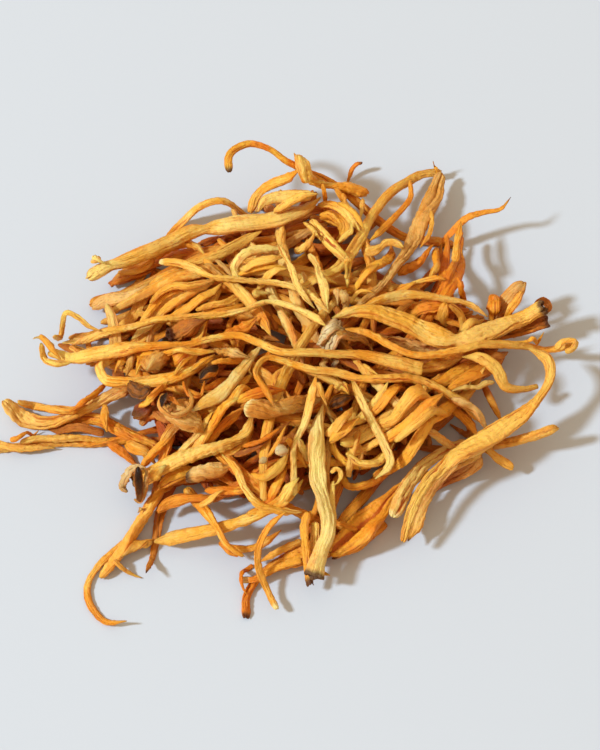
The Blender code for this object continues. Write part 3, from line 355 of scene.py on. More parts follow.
# The smaller stems, under the name of the frame's stem that they grow from or lie on.
TWIGS = {
    "left_floor_stem": [
        Stem("floor_second", "gold", [(-6, 442), (10, 447), (24, 449), (38, 449), (56, 450)],
             [1.5, 1.6, 1.3, 0.9], ends="round point"),
        Stem("floor_third", "pale", [(20, 442), (28, 438), (45, 439), (70, 438), (95, 438), (120, 438)],
             [1.4, 1.7, 1.6, 1.6, 1.4]),
        Stem("floor_stub", "orange", [(10, 440), (18, 438), (26, 433), (38, 427)], [1.4, 1.3, 0.9],
             lifts={3: 2.6}, ends="round point"),
        Stem("floor_fork", "orange", [(108, 446), (120, 452), (130, 460), (140, 469)], [1.6, 1.9, 1.8, 1.4]),
    ],
    "left_low_stem": [
        Stem("floor_brown", "brown", [(45, 426), (60, 428), (75, 427), (90, 430), (104, 434)],
             [1.5, 1.8, 1.6], ends="point round"),
        Stem("floor_broad", "gold", [(126, 444), (137, 450), (146, 457), (156, 466)], [2.4, 2.9, 2.7, 1.8]),
    ],
    "bottom_orange_stem": [
        Stem("low_a", "gold", [(302, 541), (286, 549), (271, 556), (259, 562)], [1.4, 1.7, 1.3],
             ends="round point"),
        Stem("low_b", "orange", [(302, 561), (281, 566), (268, 572), (256, 579), (242, 580)],
             [1.3, 1.5, 1.2], ends="round ragged-pale"),
        Stem("low_c", "orange", [(253, 565), (244, 571), (241, 579), (243, 588), (247, 595)],
             [1.0, 0.9, 0.8], ends="round point"),
        Stem("low_d", "orange", [(332, 553), (350, 546), (368, 536), (386, 523)], [1.9, 2.5, 2.3, 1.7],
             ends="ragged-dark round"),
    ],
    "left_orange_stem": [
        Stem("back_dark", "brown", [(203, 246), (220, 239), (238, 231)], [1.1, 1.2, 1.0]),
    ],
    "left_rising_stem": [
        Stem("cream_lobe", "tan", [(93, 311), (104, 306), (118, 301), (134, 294), (149, 284)],
             [1.9, 2.9, 2.6, 1.8, 1.2], rough=1.6),
    ],
    "pale_nub_stem": [
        Stem("nub_shred", "orange", [(322, 189), (326, 196), (327, 203)], [1.0, 1.1, 0.8]),
        Stem("nub_drop", "gold", [(343, 193), (345, 202), (344, 210)], [1.1, 1.2, 0.9]),
        Stem("nub_end", "gold", [(363, 196), (362, 207), (360, 220)], [1.3, 1.3, 1.0]),
        Stem("nub_tip", "orange", [(346, 186), (350, 175), (354, 166), (362, 163)], [1.2, 1.0, 1.0, 0.9],
             lifts={2: 3.4, 3: 3.2}, ends="point worn-dark"),
    ],
    "long_curved_stem": [
        Stem("bend_spur", "orange", [(433, 161), (435, 167), (438, 173)], [0.5, 0.7, 0.8], lifts={0: 6.0},
             ends="point round"),
        Stem("branchlet", "orange", [(410, 180), (412, 191), (405, 204), (395, 216), (384, 226), (370, 238)],
             [0.9, 1.2, 1.4, 1.5, 1.3]),
    ],
    "right_upright_stem": [
        Stem("upright_low", "gold", [(437, 248), (435, 257), (437, 266), (428, 280)], [1.5, 1.8, 1.5]),
        Stem("upright_top", "gold", [(461, 221), (459, 233), (457, 247), (455, 262)], [1.6, 1.7, 1.8, 1.9],
             lifts={0: 7.0, 1: 7.0, 2: 7.4, 3: 7.6}, ends="point worn"),
        Stem("upright_side", "orange", [(457, 277), (462, 289), (467, 303)], [1.8, 1.6, 1.2],
             ends="point point"),
    ],
    "pale_end_stem": [
        Stem("upright_end", "orange", [(492, 323), (493, 309), (495, 295)], [2.5, 2.9, 2.4],
             lifts={1: 8.0, 2: 8.5}, ends="point round", furrow=1.6),
        Stem("end_ridge", "gold", [(502, 320), (512, 306), (522, 291)], [1.5, 2.0, 1.5],
             lifts={1: 9.0, 2: 10.2}, ends="point worn"),
    ],
    "lower_pale_stem": [
        Stem("fan_under_a", "orange", [(445, 404), (459, 414), (470, 424), (478, 437)],
             [1.4, 1.9, 2.0, 1.6]),
        Stem("down_run", "orange", [(483, 384), (490, 398), (496, 411), (503, 425)], [1.5, 1.6, 1.2, 1.1]),
    ],
    "front_pale_stem": [
        Stem("front_low_run", "gold", [(221, 536), (236, 538), (251, 536), (264, 529), (281, 515)],
             [1.4, 1.8, 1.7, 1.2]),
        Stem("front_hook", "orange", [(219, 535), (225, 544), (230, 551), (237, 555), (242, 552)],
             [1.0, 0.9, 0.8], ends="round point"),
    ],
    "lower_left_stem": [
        Stem("lower_left_slip", "gold", [(152, 541), (141, 545), (131, 551), (121, 557)],
             [1.9, 2.0, 1.7, 1.2]),
        Stem("lower_left_whisker", "gold", [(114, 560), (121, 567), (130, 573), (142, 578)], [1.1, 1.1, 0.8],
             ends="round point"),
    ],
    "left_arm_stem": [
        Stem("arm_second", "gold", [(18, 402), (34, 405), (50, 409), (70, 411), (88, 405)],
             [1.4, 1.9, 1.8, 1.3], lifts={0: 3.5}),
        Stem("arm_third", "orange", [(105, 385), (90, 397), (78, 406), (68, 413)], [1.2, 1.5, 1.2]),
        Stem("arm_stub", "gold", [(105, 404), (105, 418), (107, 432)], [1.5, 1.8, 1.5]),
        Stem("dark_bits", "brown", [(131, 393), (139, 392), (148, 395)], [1.6, 2.6, 1.8], flat=0.8,
             ends="open-dark point", rough=3.0),
    ],
    "bundle_stem": [
        Stem("mouth_rim_left", "tan", [(141, 425), (147, 414), (156, 410), (167, 416), (180, 421)],
             [1.6, 3.0, 3.0, 2.2, 1.4], flat=0.8, rough=2.2),
    ],
    "left_bend_stem": [
        Stem("broad_low", "gold", [(130, 344), (143, 334), (155, 324), (168, 315)], [2.2, 2.6, 2.4, 1.5]),
        Stem("middle_brown", "orange", [(205, 314), (220, 311), (236, 308), (250, 302)],
             [1.2, 1.8, 1.6, 1.0]),
        Stem("bend_inner", "orange", [(126, 359), (117, 366), (115, 373)], [1.4, 2.0, 1.4]),
        Stem("bend_second", "tan", [(134, 355), (131, 365), (126, 376)], [1.5, 1.8, 1.3]),
        Stem("bend_third", "gold", [(143, 355), (140, 365), (136, 375)], [1.2, 1.6, 1.2]),
        Stem("tan_lobe", "tan", [(172, 352), (162, 357), (153, 363), (147, 371)], [2.6, 4.0, 4.2, 2.6],
             flat=0.7, rough=2.4),
        Stem("amber_slope", "orange", [(186, 350), (179, 358), (170, 366)], [2.4, 3.2, 2.0]),
        Stem("bundle_c", "orange", [(172, 452), (184, 441), (197, 432), (211, 424), (224, 416), (238, 408)],
             [1.3, 1.8, 2.0, 1.8, 1.3]),
        Stem("bundle_d", "orange", [(184, 449), (200, 440), (214, 432), (225, 420), (235, 411), (246, 404)],
             [1.5, 2.2, 2.6, 2.4, 1.6]),
        Stem("fan_edge", "orange", [(374, 470), (387, 461), (402, 451), (416, 440), (427, 429), (439, 415),
             (453, 403), (468, 394)], [1.3, 2.2, 2.6, 2.6, 2.5, 2.2, 1.4], furrow=0.7, twist=0.3),
        Stem("fan_finger_a", "gold", [(341, 443), (352, 437), (364, 430), (378, 424), (394, 417), (410, 409),
             (428, 399)], [2.0, 2.1, 2.1, 2.0, 1.8, 1.7, 1.2], furrow=0.4, twist=0.2, rough=0.6),
        Stem("fan_finger_b", "gold", [(347, 451), (358, 444), (371, 438), (386, 431), (402, 422), (421, 410),
             (438, 399)], [1.4, 1.6, 1.5, 1.4, 1.3, 1.3, 1.1], furrow=0.6, twist=0.2),
        Stem("fan_dark", "orange", [(366, 412), (379, 403), (391, 393), (402, 384), (416, 376)],
             [1.3, 2.0, 2.2, 2.0, 1.2]),
        Stem("fan_deep", "orange", [(380, 438), (395, 430), (412, 420), (428, 406), (444, 393)],
             [1.4, 2.3, 2.5, 2.3, 1.4]),
        Stem("well_loop", "gold", [(349, 455), (357, 461), (368, 463), (379, 458), (386, 449), (394, 439)],
             [1.1, 1.5, 1.6, 1.5, 1.0]),
        Stem("orange_cluster", "orange", [(398, 274), (408, 268), (417, 263), (426, 253), (434, 244)],
             [1.6, 2.4, 1.8, 1.4, 1.0], rough=2.0),
    ],
    "hollow_stem": [
        *PAINTED_SHADE_PLACES,
        Stem("thin_rise_a", "gold", [(174, 375), (184, 363), (195, 355)], [0.8, 1.1, 1.0]),
        Stem("thin_rise_b", "gold", [(191, 370), (203, 362), (215, 356)], [0.9, 1.5, 1.2]),
        Stem("gap_blade", "orange", [(203, 389), (215, 381), (226, 373), (238, 367)], [1.0, 1.6, 1.5, 1.1]),
        Stem("gap_slope", "orange", [(200, 404), (212, 395), (224, 385), (236, 375), (248, 366)],
             [2.0, 2.8, 2.6, 1.8]),
        Stem("wisp", "orange", [(183, 381), (185, 389), (191, 396), (199, 396), (203, 389), (205, 378)],
             [0.6, 0.75, 0.6], flat=0.85, lifts={0: 10.0, 2: 9.6, 3: 9.6, 5: 10.0}),
        Stem("mouth_rim", "tan", [(163, 394), (160, 404), (166, 412), (176, 416), (187, 411), (192, 401),
             (188, 389)], [1.2, 1.5, 1.5, 1.2, 1.0, 0.9], flat=0.9,
             lifts={0: 10.5, 1: 11.0, 2: 11.0, 3: 11.0, 4: 11.0, 5: 11.0, 6: 10.5}),
        Stem("mouth_crumb_a", "orange", [(170, 397), (175, 402), (181, 406)], [0.9, 1.5, 1.0],
             lifts={0: 10.6, 1: 10.6, 2: 10.6}, rough=2.4),
        Stem("mouth_crumb_b", "brown", [(168, 407), (174, 410), (180, 409)], [0.9, 1.3, 0.9],
             lifts={0: 10.2, 1: 10.2, 2: 10.2}, rough=2.4),
        Stem("gap_rim", "orange", [(140, 406), (150, 401), (158, 391), (168, 382)], [1.2, 1.5, 1.3, 1.0]),
        Stem("bundle_a", "pale", [(137, 477), (152, 465), (164, 451), (174, 435), (184, 424), (197, 413),
             (212, 405)], [1.4, 1.4, 1.2, 1.3, 1.4, 1.1]),
        Stem("bundle_b", "gold", [(160, 459), (172, 443), (185, 429), (202, 419), (221, 410), (243, 399)],
             [1.3, 1.6, 2.0, 2.1, 1.8, 1.4]),
        Stem("bundle_e", "gold", [(217, 448), (226, 437), (234, 426), (243, 418), (253, 412)],
             [1.4, 2.4, 3.0, 2.8, 1.8]),
        Stem("bundle_low_a", "brown", [(234, 457), (249, 451), (263, 442), (276, 432), (291, 421)],
             [1.0, 1.5, 1.4, 1.3, 1.0]),
        Stem("bundle_low_b", "orange", [(243, 446), (257, 443), (268, 437), (280, 428)], [1.0, 1.3, 1.1]),
        Stem("amber_under", "orange", [(160, 487), (172, 478), (187, 472), (202, 466)],
             [2.0, 3.0, 2.6, 1.6]),
        Stem("brown_club", "tan", [(187, 478), (198, 473), (211, 469), (224, 465), (234, 458)],
             [2.4, 3.6, 3.8, 2.8, 1.4], flat=0.75, ends="worn-dark point", rough=1.8),
        Stem("club_low", "orange", [(158, 512), (169, 502), (183, 494), (198, 488), (215, 484)],
             [1.5, 2.5, 2.6, 2.2, 1.4]),
        Stem("club_lower", "orange", [(205, 489), (221, 494), (237, 497), (254, 502)], [1.3, 1.9, 1.8, 1.2]),
        Stem("fan_shade_a", "orange", [(428, 387), (446, 380), (464, 371), (482, 361), (500, 352)],
             [1.5, 2.6, 3.0, 2.6, 1.6]),
        Stem("fan_shade_b", "orange", [(414, 376), (430, 367), (448, 359), (466, 352), (486, 346)],
             [1.5, 2.6, 3.0, 2.4, 1.4]),
        *PAINTED_SHADE_PLACES,
        Stem("right_slip", "gold", [(410, 285), (421, 281), (433, 278), (446, 280)], [1.3, 1.6, 1.4]),
        Stem("orange_leaf", "orange", [(393, 293), (404, 288), (416, 282)], [1.4, 2.2, 1.4]),
        Stem("wrinkled_run", "orange", [(398, 320), (411, 312), (425, 305), (440, 301), (456, 300)],
             [1.8, 2.6, 2.8, 2.6, 1.6], rough=2.0),
    ],
    "bundle_pale_stem": [
        Stem("base_lobe", "pale", [(150, 479), (157, 472), (166, 465)], [3.0, 3.3, 2.2], flat=0.8,
             ends="round point"),
        Stem("base_rim_a", "base", [(147, 471), (138, 468), (130, 471), (124, 478), (122, 486), (127, 492)],
             [1.0, 1.7, 2.1, 1.9, 1.5, 1.0], ends="point worn", furrow=1.5, rough=2.4),
        Stem("base_rim_b", "base", [(141, 470), (147, 477), (147, 486), (141, 493), (133, 492)],
             [0.9, 1.1, 1.1, 1.1, 0.8], flat=0.8, ends="point worn", rough=2.0),
        # painted shadow inside the base's mouth, near black
        Stem("painted_shadow_base_mouth", "painted_shadow", [(139, 474), (138, 482), (138, 490)], [1.2, 2.0, 1.2], ends="worn worn",
             rough=2.0),
        Stem("base_shred", "tan", [(139, 487), (136, 495), (136, 502), (138, 509)], [1.0, 1.4, 1.1, 0.7],
             ends="round point", rough=2.4),
        Stem("fan_shade_c", "orange", [(448, 388), (464, 380), (480, 372), (494, 362), (505, 352)],
             [1.3, 2.2, 2.6, 2.2, 1.3]),
        Stem("fan_shade_d", "gold", [(404, 372), (424, 370), (444, 365), (462, 359)], [1.2, 1.8, 1.8, 1.2]),
    ],
    "pod_stem": [
        Stem("tan_flake_low", "orange", [(212, 364), (228, 362), (244, 361), (258, 357)],
             [1.0, 1.4, 1.3, 0.9]),
        Stem("gap_stub", "gold", [(238, 386), (245, 379), (252, 373)], [1.4, 1.8, 1.3]),
        Stem("over_pod_a", "gold", [(220, 404), (234, 396), (248, 389), (262, 385)], [1.2, 1.8, 1.8, 1.2]),
        Stem("over_pod_b", "orange", [(236, 398), (252, 393), (268, 391), (286, 390)], [1.6, 2.2, 2.2, 1.4]),
        Stem("front_mass_dark", "orange", [(262, 500), (272, 490), (280, 478), (288, 464)],
             [1.4, 2.0, 2.0, 1.3]),
        Stem("crescent", "gold", [(251, 472), (260, 477), (270, 474), (280, 466), (286, 455), (288, 444)],
             [1.0, 2.0, 2.4, 2.2, 1.3]),
        Stem("seed_stalk_a", "orange", [(283, 444), (288, 434), (293, 423)], [0.7, 0.9, 0.7]),
        Stem("seed_stalk_b", "orange", [(268, 457), (275, 446), (281, 434), (286, 425)],
             [0.8, 1.1, 1.0, 0.8]),
        Stem("under_front", "orange", [(287, 430), (295, 442), (300, 455), (306, 468)],
             [1.2, 1.9, 1.9, 1.2]),
        Stem("fan_striped", "gold", [(345, 434), (352, 422), (361, 412), (371, 401), (380, 391), (388, 382)],
             [1.3, 2.0, 2.2, 2.1, 1.9, 1.5], furrow=0.5, twist=0.2, rough=0.6),
        Stem("well_leaf", "gold", [(334, 377), (340, 386), (349, 396)], [1.4, 2.6, 1.0]),
    ],
    "broad_left_stem": [
        Stem("rising_inner", "gold", [(140, 325), (148, 313), (157, 302), (168, 294), (184, 291)],
             [1.2, 1.7, 1.8, 1.4]),
        Stem("over_broad", "pale", [(150, 303), (160, 293), (172, 287), (186, 287), (202, 282), (216, 278)],
             [1.0, 1.5, 1.6, 1.5, 1.2]),
        Stem("broad_edge", "gold", [(165, 319), (180, 308), (196, 298), (211, 288), (222, 280)],
             [1.3, 1.9, 2.0, 1.4]),
        Stem("middle_left", "gold", [(196, 310), (208, 305), (221, 304), (233, 299), (246, 291), (260, 284)],
             [1.0, 1.5, 1.4, 1.4, 1.1]),
        Stem("knee_third", "orange", [(238, 275), (255, 269), (271, 266), (286, 268)], [1.1, 1.6, 1.5, 1.1]),
        Stem("fan_lower", "gold", [(395, 442), (402, 433), (414, 424), (426, 412), (438, 401), (450, 391),
             (467, 379), (485, 367)], [1.2, 1.9, 2.1, 2.2, 2.2, 2.0, 1.5], furrow=0.7, twist=0.3),
        Stem("fan_left_low", "orange", [(330, 442), (340, 432), (350, 424), (360, 418)],
             [1.5, 2.4, 2.2, 1.4]),
        Stem("well_thread", "pale", [(363, 364), (370, 370), (379, 376)], [0.8, 1.0, 0.9]),
        Stem("amber_blob", "orange", [(321, 217), (333, 215), (343, 221), (344, 232), (336, 240)],
             [2.0, 3.4, 3.4, 3.0, 2.0], fold=0.6),
    ],
    "diagonal_stem": [
        Stem("left_slip", "gold", [(118, 272), (132, 273), (144, 268), (152, 260), (160, 252)],
             [1.3, 1.4, 1.2]),
        Stem("under_arch", "gold", [(155, 259), (169, 249), (184, 244), (197, 246), (205, 255)],
             [1.3, 2.0, 1.8, 1.2]),
        Stem("back_run", "gold", [(168, 262), (188, 264), (206, 259), (226, 250), (246, 240), (262, 231)],
             [1.5, 2.0, 2.4, 2.2, 1.5]),
        Stem("knee", "pale", [(238, 277), (233, 268), (238, 260), (250, 252), (265, 248), (284, 250)],
             [1.8, 2.0, 2.2, 1.9, 1.3]),
        Stem("knee_second", "gold", [(243, 271), (254, 263), (268, 260), (286, 260)], [1.2, 1.9, 1.8, 1.3]),
        Stem("knee_low", "gold", [(258, 291), (266, 280), (276, 273), (290, 268)], [1.2, 1.8, 1.7, 1.2]),
        Stem("fuzzy_a", "tan", [(205, 264), (215, 269), (227, 279)], [1.0, 1.3, 1.0], rough=2.0),
        Stem("fuzzy_b", "tan", [(216, 262), (225, 268), (236, 279)], [1.0, 1.3, 1.0], rough=2.0),
        Stem("shrivelled_club", "brown", [(168, 335), (179, 329), (193, 325), (207, 320)],
             [2.6, 3.8, 3.4, 1.6], flat=0.75, ends="open-dark point", rough=2.4),
        Stem("amber_lump", "orange", [(222, 336), (236, 331), (248, 325), (257, 317)], [1.6, 2.8, 2.6, 1.6],
             rough=2.0),
        Stem("fan_left", "gold", [(326, 431), (336, 424), (346, 416), (353, 407)], [1.8, 2.2, 1.8, 1.0]),
        Stem("lumpy_droop", "orange", [(361, 276), (372, 269), (383, 263), (391, 254), (391, 244)],
             [1.4, 2.2, 2.3, 1.9, 1.3], rough=2.2),
        Stem("thin_droop", "orange", [(347, 294), (358, 282), (368, 272), (379, 264)], [1.0, 1.4, 1.3]),
        Stem("lobe_fat", "gold", [(446, 303), (443, 313), (447, 326)], [1.7, 2.4, 1.9]),
        Stem("lobe_ring", "gold", [(450, 305), (460, 307), (465, 316), (460, 326), (449, 329), (437, 326)],
             [1.4, 1.8, 2.0, 1.8, 1.5]),
    ],
    "tan_ribbon_stem": [
        Stem("brown_leaf", "brown", [(485, 352), (497, 357), (508, 352)], [1.6, 2.4, 1.6]),
        Stem("pale_knob", "pale", [(253, 294), (261, 289), (269, 283)], [1.9, 2.1, 1.5], ends="round point"),
        Stem("fan_wide", "gold", [(378, 421), (388, 417), (398, 411), (406, 402), (415, 395), (428, 391),
             (440, 384)], [2.2, 2.2, 2.5, 3.2, 3.6, 2.8, 1.5], ends="round point", furrow=0.45, twist=0.2),
        Stem("slab", "gold", [(311, 220), (319, 231), (331, 243), (342, 256), (350, 268)],
             [1.8, 2.4, 2.4, 2.2, 1.4]),
        Stem("slab_thin", "gold", [(304, 222), (312, 230), (321, 241)], [0.9, 1.1, 0.8]),
        Stem("slab_left", "gold", [(294, 250), (303, 249), (311, 242), (315, 232)], [1.6, 1.8, 1.7, 1.3],
             ends="round point"),
        Stem("inner_curl", "gold", [(318, 203), (331, 203), (343, 210), (351, 220), (360, 231)],
             [1.3, 1.9, 1.9, 1.8, 1.3]),
        Stem("outer_curl", "orange", [(338, 203), (349, 208), (358, 218), (364, 230)], [1.0, 1.3, 1.1]),
        Stem("curl_arc", "gold", [(339, 242), (347, 238), (352, 230), (350, 220)], [1.0, 1.4, 1.3, 1.0]),
        Stem("low_droop", "gold", [(300, 285), (312, 280), (324, 278), (337, 283)], [1.2, 1.7, 1.7, 1.2]),
        Stem("right_low_slip", "gold", [(392, 317), (403, 309), (414, 302)], [1.3, 1.7, 1.2]),
        Stem("right_stubby", "gold", [(462, 330), (473, 322), (485, 314)], [1.8, 2.4, 1.4]),
    ],
    "shared_base": [
        Stem("shred_a", "tan", [(321, 350), (326, 357), (322, 365), (330, 370)], [1.0, 1.3, 1.2, 0.8],
             ends="round ragged-dark"),
        Stem("shred_b", "base", [(334, 344), (337, 355), (333, 366)], [1.2, 1.3, 0.9],
             ends="round ragged-dark"),
        Stem("base_crown", "base", [(325, 349), (331, 342), (338, 337), (347, 335), (357, 336)],
             [1.6, 2.4, 2.6, 2.2, 1.2], furrow=1.5, rough=2.4),
        Stem("base_sheath", "tan", [(336, 346), (347, 341), (358, 340), (367, 343), (373, 351)],
             [1.3, 1.9, 1.8, 1.4, 0.9], furrow=1.4, rough=1.8),
        Stem("base_left", "base", [(318, 346), (322, 337), (328, 330), (337, 326), (346, 328)],
             [1.3, 1.8, 2.0, 1.8, 1.2], furrow=1.5, rough=2.4),
    ],
    "top_left_ribbon": [
        Stem("ribbon_flap", "pale", [(94, 256), (98, 261), (107, 264)], [1.7, 2.1, 1.2],
             lifts={0: 9.2, 1: 9.0, 2: 8.4}),
        Stem("fan_gold", "gold", [(250, 212), (256, 198), (265, 188), (277, 180), (289, 174), (300, 168)],
             [1.8, 2.2, 2.4, 2.4, 2.2, 1.8], lifts={1: 6.0, 2: 7.4, 3: 8.4, 4: 10.0, 5: 11.0}, twist=0.4),
        Stem("fan_pale", "pale", [(258, 212), (265, 200), (280, 191), (297, 186), (312, 187)],
             [1.8, 2.4, 2.8, 2.8, 2.4], lifts={1: 6.4, 2: 8.6, 3: 9.8, 4: 10.4}, ends="point round",
             twist=0.4),
        Stem("fan_thin", "gold", [(274, 211), (287, 202), (302, 196), (318, 195)], [1.4, 1.9, 1.9, 1.5],
             lifts={1: 7.6, 2: 8.6}),
        Stem("top_knot", "pale", [(297, 156), (301, 163), (305, 171), (309, 180)], [1.4, 2.4, 3.2, 2.6],
             flat=0.85, lifts={0: 12.5, 1: 12.5, 2: 12.5, 3: 12.0}, ends="worn round", rough=1.8),
    ],
    "back_ribbon": [
        Stem("base_arch", "gold", [(350, 303), (357, 293), (365, 290), (374, 293)], [0.8, 0.9, 0.8]),
        Stem("pale_stub", "pale", [(365, 252), (375, 250), (384, 245), (392, 242), (403, 248)],
             [2.0, 2.2, 1.9, 1.9, 1.4], lifts={1: 9.5}, ends="round worn"),
        Stem("little_knob", "gold", [(348, 275), (348, 279), (347, 288)], [1.8, 1.7, 0.8], flat=0.95,
             ends="round point"),
        Stem("base_knob", "tan", [(336, 290), (337, 295), (338, 306)], [1.9, 1.7, 1.0], flat=0.95,
             ends="round point"),
        Stem("base_shred_b", "tan", [(341, 291), (346, 300), (349, 312)], [1.2, 2.0, 1.5], rough=2.0),
        Stem("ribbon_thread", "gold", [(431, 211), (432, 222), (429, 234), (420, 247)], [0.9, 1.2, 1.0],
             lifts={0: 6.0}),
    ],
    "pale_blade_stem": [
        Stem("ribbon_lower", "gold", [(128, 353), (150, 351), (172, 350), (195, 352), (216, 351)],
             [2.0, 1.8, 1.5, 1.5, 1.3], lifts={0: 9.0}),
        Stem("tan_flake", "tan", [(214, 349), (226, 352), (238, 355), (250, 356)], [1.0, 2.1, 2.2, 1.2],
             rough=1.8),
    ],
    "upper_pale_stem": [
        Stem("arch_left", "gold", [(55, 336), (61, 330), (64, 322), (70, 317), (77, 317), (83, 322),
             (91, 328), (101, 331)], [1.0, 1.1, 1.2, 1.1, 1.0], lifts={0: 8.0, 3: 9.5, 4: 9.5, 7: 7.0}),
    ],
    "long_pale_stem": [
        Stem("rising_left", "pale", [(279, 245), (285, 257), (292, 270), (297, 284), (305, 297), (315, 309)],
             [1.2, 1.2, 1.4, 1.4, 1.3, 1.0], lifts={0: 11.5, 1: 11.5, 2: 11.5}, rough=1.6),
        Stem("rising_right", "pale", [(309, 254), (316, 264), (320, 275), (324, 286), (325, 298),
             (328, 310)], [1.5, 1.3, 1.6, 2.1, 1.7, 1.0], lifts={0: 12.5, 1: 12.5, 2: 12.5, 3: 12.5},
             rough=1.8),
    ],
    "gold_ribbon_stem": [
        Stem("curl_a", "tan", [(33, 339), (38, 337), (44, 340), (54, 347)], [1.0, 1.2, 1.2, 1.0],
             lifts={0: 10.0, 1: 10.5, 2: 10.0, 3: 9.5}, ends="point round"),
        Stem("curl_b", "orange", [(40, 335), (47, 342), (53, 350), (61, 359)], [1.1, 1.4, 1.3, 1.1],
             lifts={0: 10.0, 1: 10.0, 2: 9.6, 3: 9.3}),
        Stem("curl_c", "gold", [(41, 343), (43, 353), (50, 360), (60, 363), (72, 362)], [1.1, 1.4, 1.4, 1.2],
             lifts={0: 9.4, 1: 9.0, 2: 9.0, 3: 9.0, 4: 9.0}),
    ],
    "crossing_stem": [
        Stem("front_mass_low", "gold", [(264, 508), (279, 499), (292, 489), (303, 479)],
             [1.4, 2.0, 2.0, 1.3]),
        Stem("seed_a", "base", [(279, 447), (281, 450), (283, 453)], [2.0, 2.5, 2.0], flat=1.0,
             ends="round round", rough=0.6),
        Stem("seed_b", "base", [(262, 458), (263, 460), (265, 463)], [1.5, 1.9, 1.5], flat=1.0,
             ends="round round", rough=1.4),
    ],
    "centre_front_stem": [
        Stem("fan_under_b", "tan", [(452, 399), (468, 405), (480, 415), (488, 429)], [1.6, 2.2, 2.1, 1.5]),
        Stem("cross_run", "pale", [(452, 391), (466, 387), (479, 387), (486, 383), (494, 382)],
             [1.1, 1.2, 1.1, 1.3, 1.1], ends="point worn", rough=1.8),
    ],
    "front_long_stem": [
        Stem("front_join", "pale", [(299, 439), (306, 452), (311, 467)], [1.3, 1.5, 1.2]),
        Stem("front_mass", "gold", [(248, 513), (261, 502), (275, 492), (288, 483), (299, 474)],
             [1.5, 2.3, 2.5, 2.2, 1.4]),
    ],
    "front_whip_stem": [
        Stem("front_slip", "pale", [(224, 490), (216, 494), (209, 501), (199, 506)], [1.1, 1.3, 1.4, 1.1],
             ends="point round"),
    ],
    "front_drip_stem": [
        Stem("front_under", "orange", [(308, 512), (304, 530), (305, 547), (307, 563), (310, 584)],
             [1.7, 1.9, 1.9, 1.5], ends="round ragged-dark"),
        Stem("front_side_low", "gold", [(315, 518), (315, 537), (314, 552), (319, 566), (330, 574)],
             [1.7, 1.9, 1.9, 1.2], ends="round point"),
        Stem("front_right_edge", "gold", [(333, 480), (332, 500), (333, 520), (328, 540)],
             [1.0, 1.4, 1.5, 1.0]),
    ],
    "front_ribbon": [
        Stem("front_side", "pale", [(318, 382), (322, 394), (327, 406)], [1.0, 1.1, 0.9],
             ends="round point"),
        Stem("front_curlet", "gold", [(331, 473), (337, 468), (341, 474), (338, 482), (332, 486)],
             [0.9, 1.0, 0.8], lifts={0: 9.0, 2: 9.5}, ends="round point"),
    ],
    "right_loop_stem": [
        Stem("thin_run", "gold", [(462, 357), (477, 357), (490, 363), (498, 373), (503, 385), (511, 390),
             (524, 389), (538, 386)], [1.2, 2.2, 2.8, 2.6, 2.0, 1.3, 1.1], ends="point round"),
    ],
    "right_pale_stem": [
        Stem("right_thread", "gold", [(419, 321), (432, 326), (448, 329)], [1.0, 1.1, 0.9]),
    ],
    "right_ribbon": [
        Stem("ribbon_mouth", "brown", [(534, 304), (539, 300), (545, 301), (549, 307), (548, 312)],
             [0.9, 1.5, 1.8, 1.5, 0.9], ends="point worn", rough=2.0),
    ],
    "right_top_stem": [
        Stem("end_curl", "orange", [(517, 341), (528, 341), (538, 339), (544, 332)], [0.9, 0.9, 0.8, 0.6],
             lifts={1: 9.5, 2: 10.0, 3: 10.5}, ends="point point"),
        Stem("tip_curl", "gold", [(556, 349), (561, 343), (569, 340), (576, 343), (574, 349), (565, 352)],
             [1.5, 1.5, 1.4, 1.3, 1.1], lifts={0: 11.0, 1: 11.5, 2: 11.5, 3: 11.5, 4: 11.2, 5: 11.0},
             ends="round round"),
    ],
}


def on_table(across, down, height):
    """Where a point of the photo lies in plan, in mm, if it is this high above the table."""
    right = (across - PHOTO_MIDDLE[0]) * PIXEL_MM
    up = (PHOTO_MIDDLE[1] - down) * PIXEL_MM
    ray_y = -EYE[1] + up * math.sin(LOOK_DOWN)
    ray_z = -EYE[2] + up * math.cos(LOOK_DOWN)
    reach = (height - EYE[2]) / ray_z
    return right * reach, EYE[1] + ray_y * reach


def smooth_at(values, spots):
    """Values between places that are one apart, on a smooth curve through them."""
    values = np.asarray(values, float)
    knots = np.concatenate([2 * values[:1] - values[1:2], values, 2 * values[-1:] - values[-2:-1]])
    place = np.clip(spots.astype(int), 0, len(values) - 2)
    t = spots - place
    if values.ndim > 1:
        t = t[:, None]
    a, b, c, d = (knots[place + k] for k in range(4))
    return 0.5 * (2 * b + (c - a) * t + (2 * a - 5 * b + 4 * c - d) * t**2 + (3 * b - a - 3 * c + d) * t**3)


def smooth_through(points, count):
    """A smooth curve through the points, as count points spread evenly along it."""
    spots = np.arange(CURVE_STEPS * (len(points) - 1) + 1) / CURVE_STEPS
    fine = smooth_at(points, spots)
    along = np.concatenate([[0], np.cumsum(np.linalg.norm(np.diff(fine[:, :2], axis=0), axis=1))])
    marks = np.linspace(0, along[-1], count)
    return np.stack([np.interp(marks, along, column) for column in fine.T], axis=1)


def spread(values, count):
    """The values spread evenly over count places, eased from one to the next."""
    return np.interp(np.linspace(0, 1, count), np.linspace(0, 1, len(values)), values)


def inside(edge, across, down):
    """Whether a place of the photo lies within an outline."""
    within = False
    for (x0, y0), (x1, y1) in zip(edge, edge[1:] + edge[:1]):
        if (y0 > down) != (y1 > down) and across < (x1 - x0) * (down - y0) / (y1 - y0) + x0:
            within = not within
    return within


def pointing(angle):
    """The unit direction at an angle."""
    return np.array([math.cos(angle), math.sin(angle)])


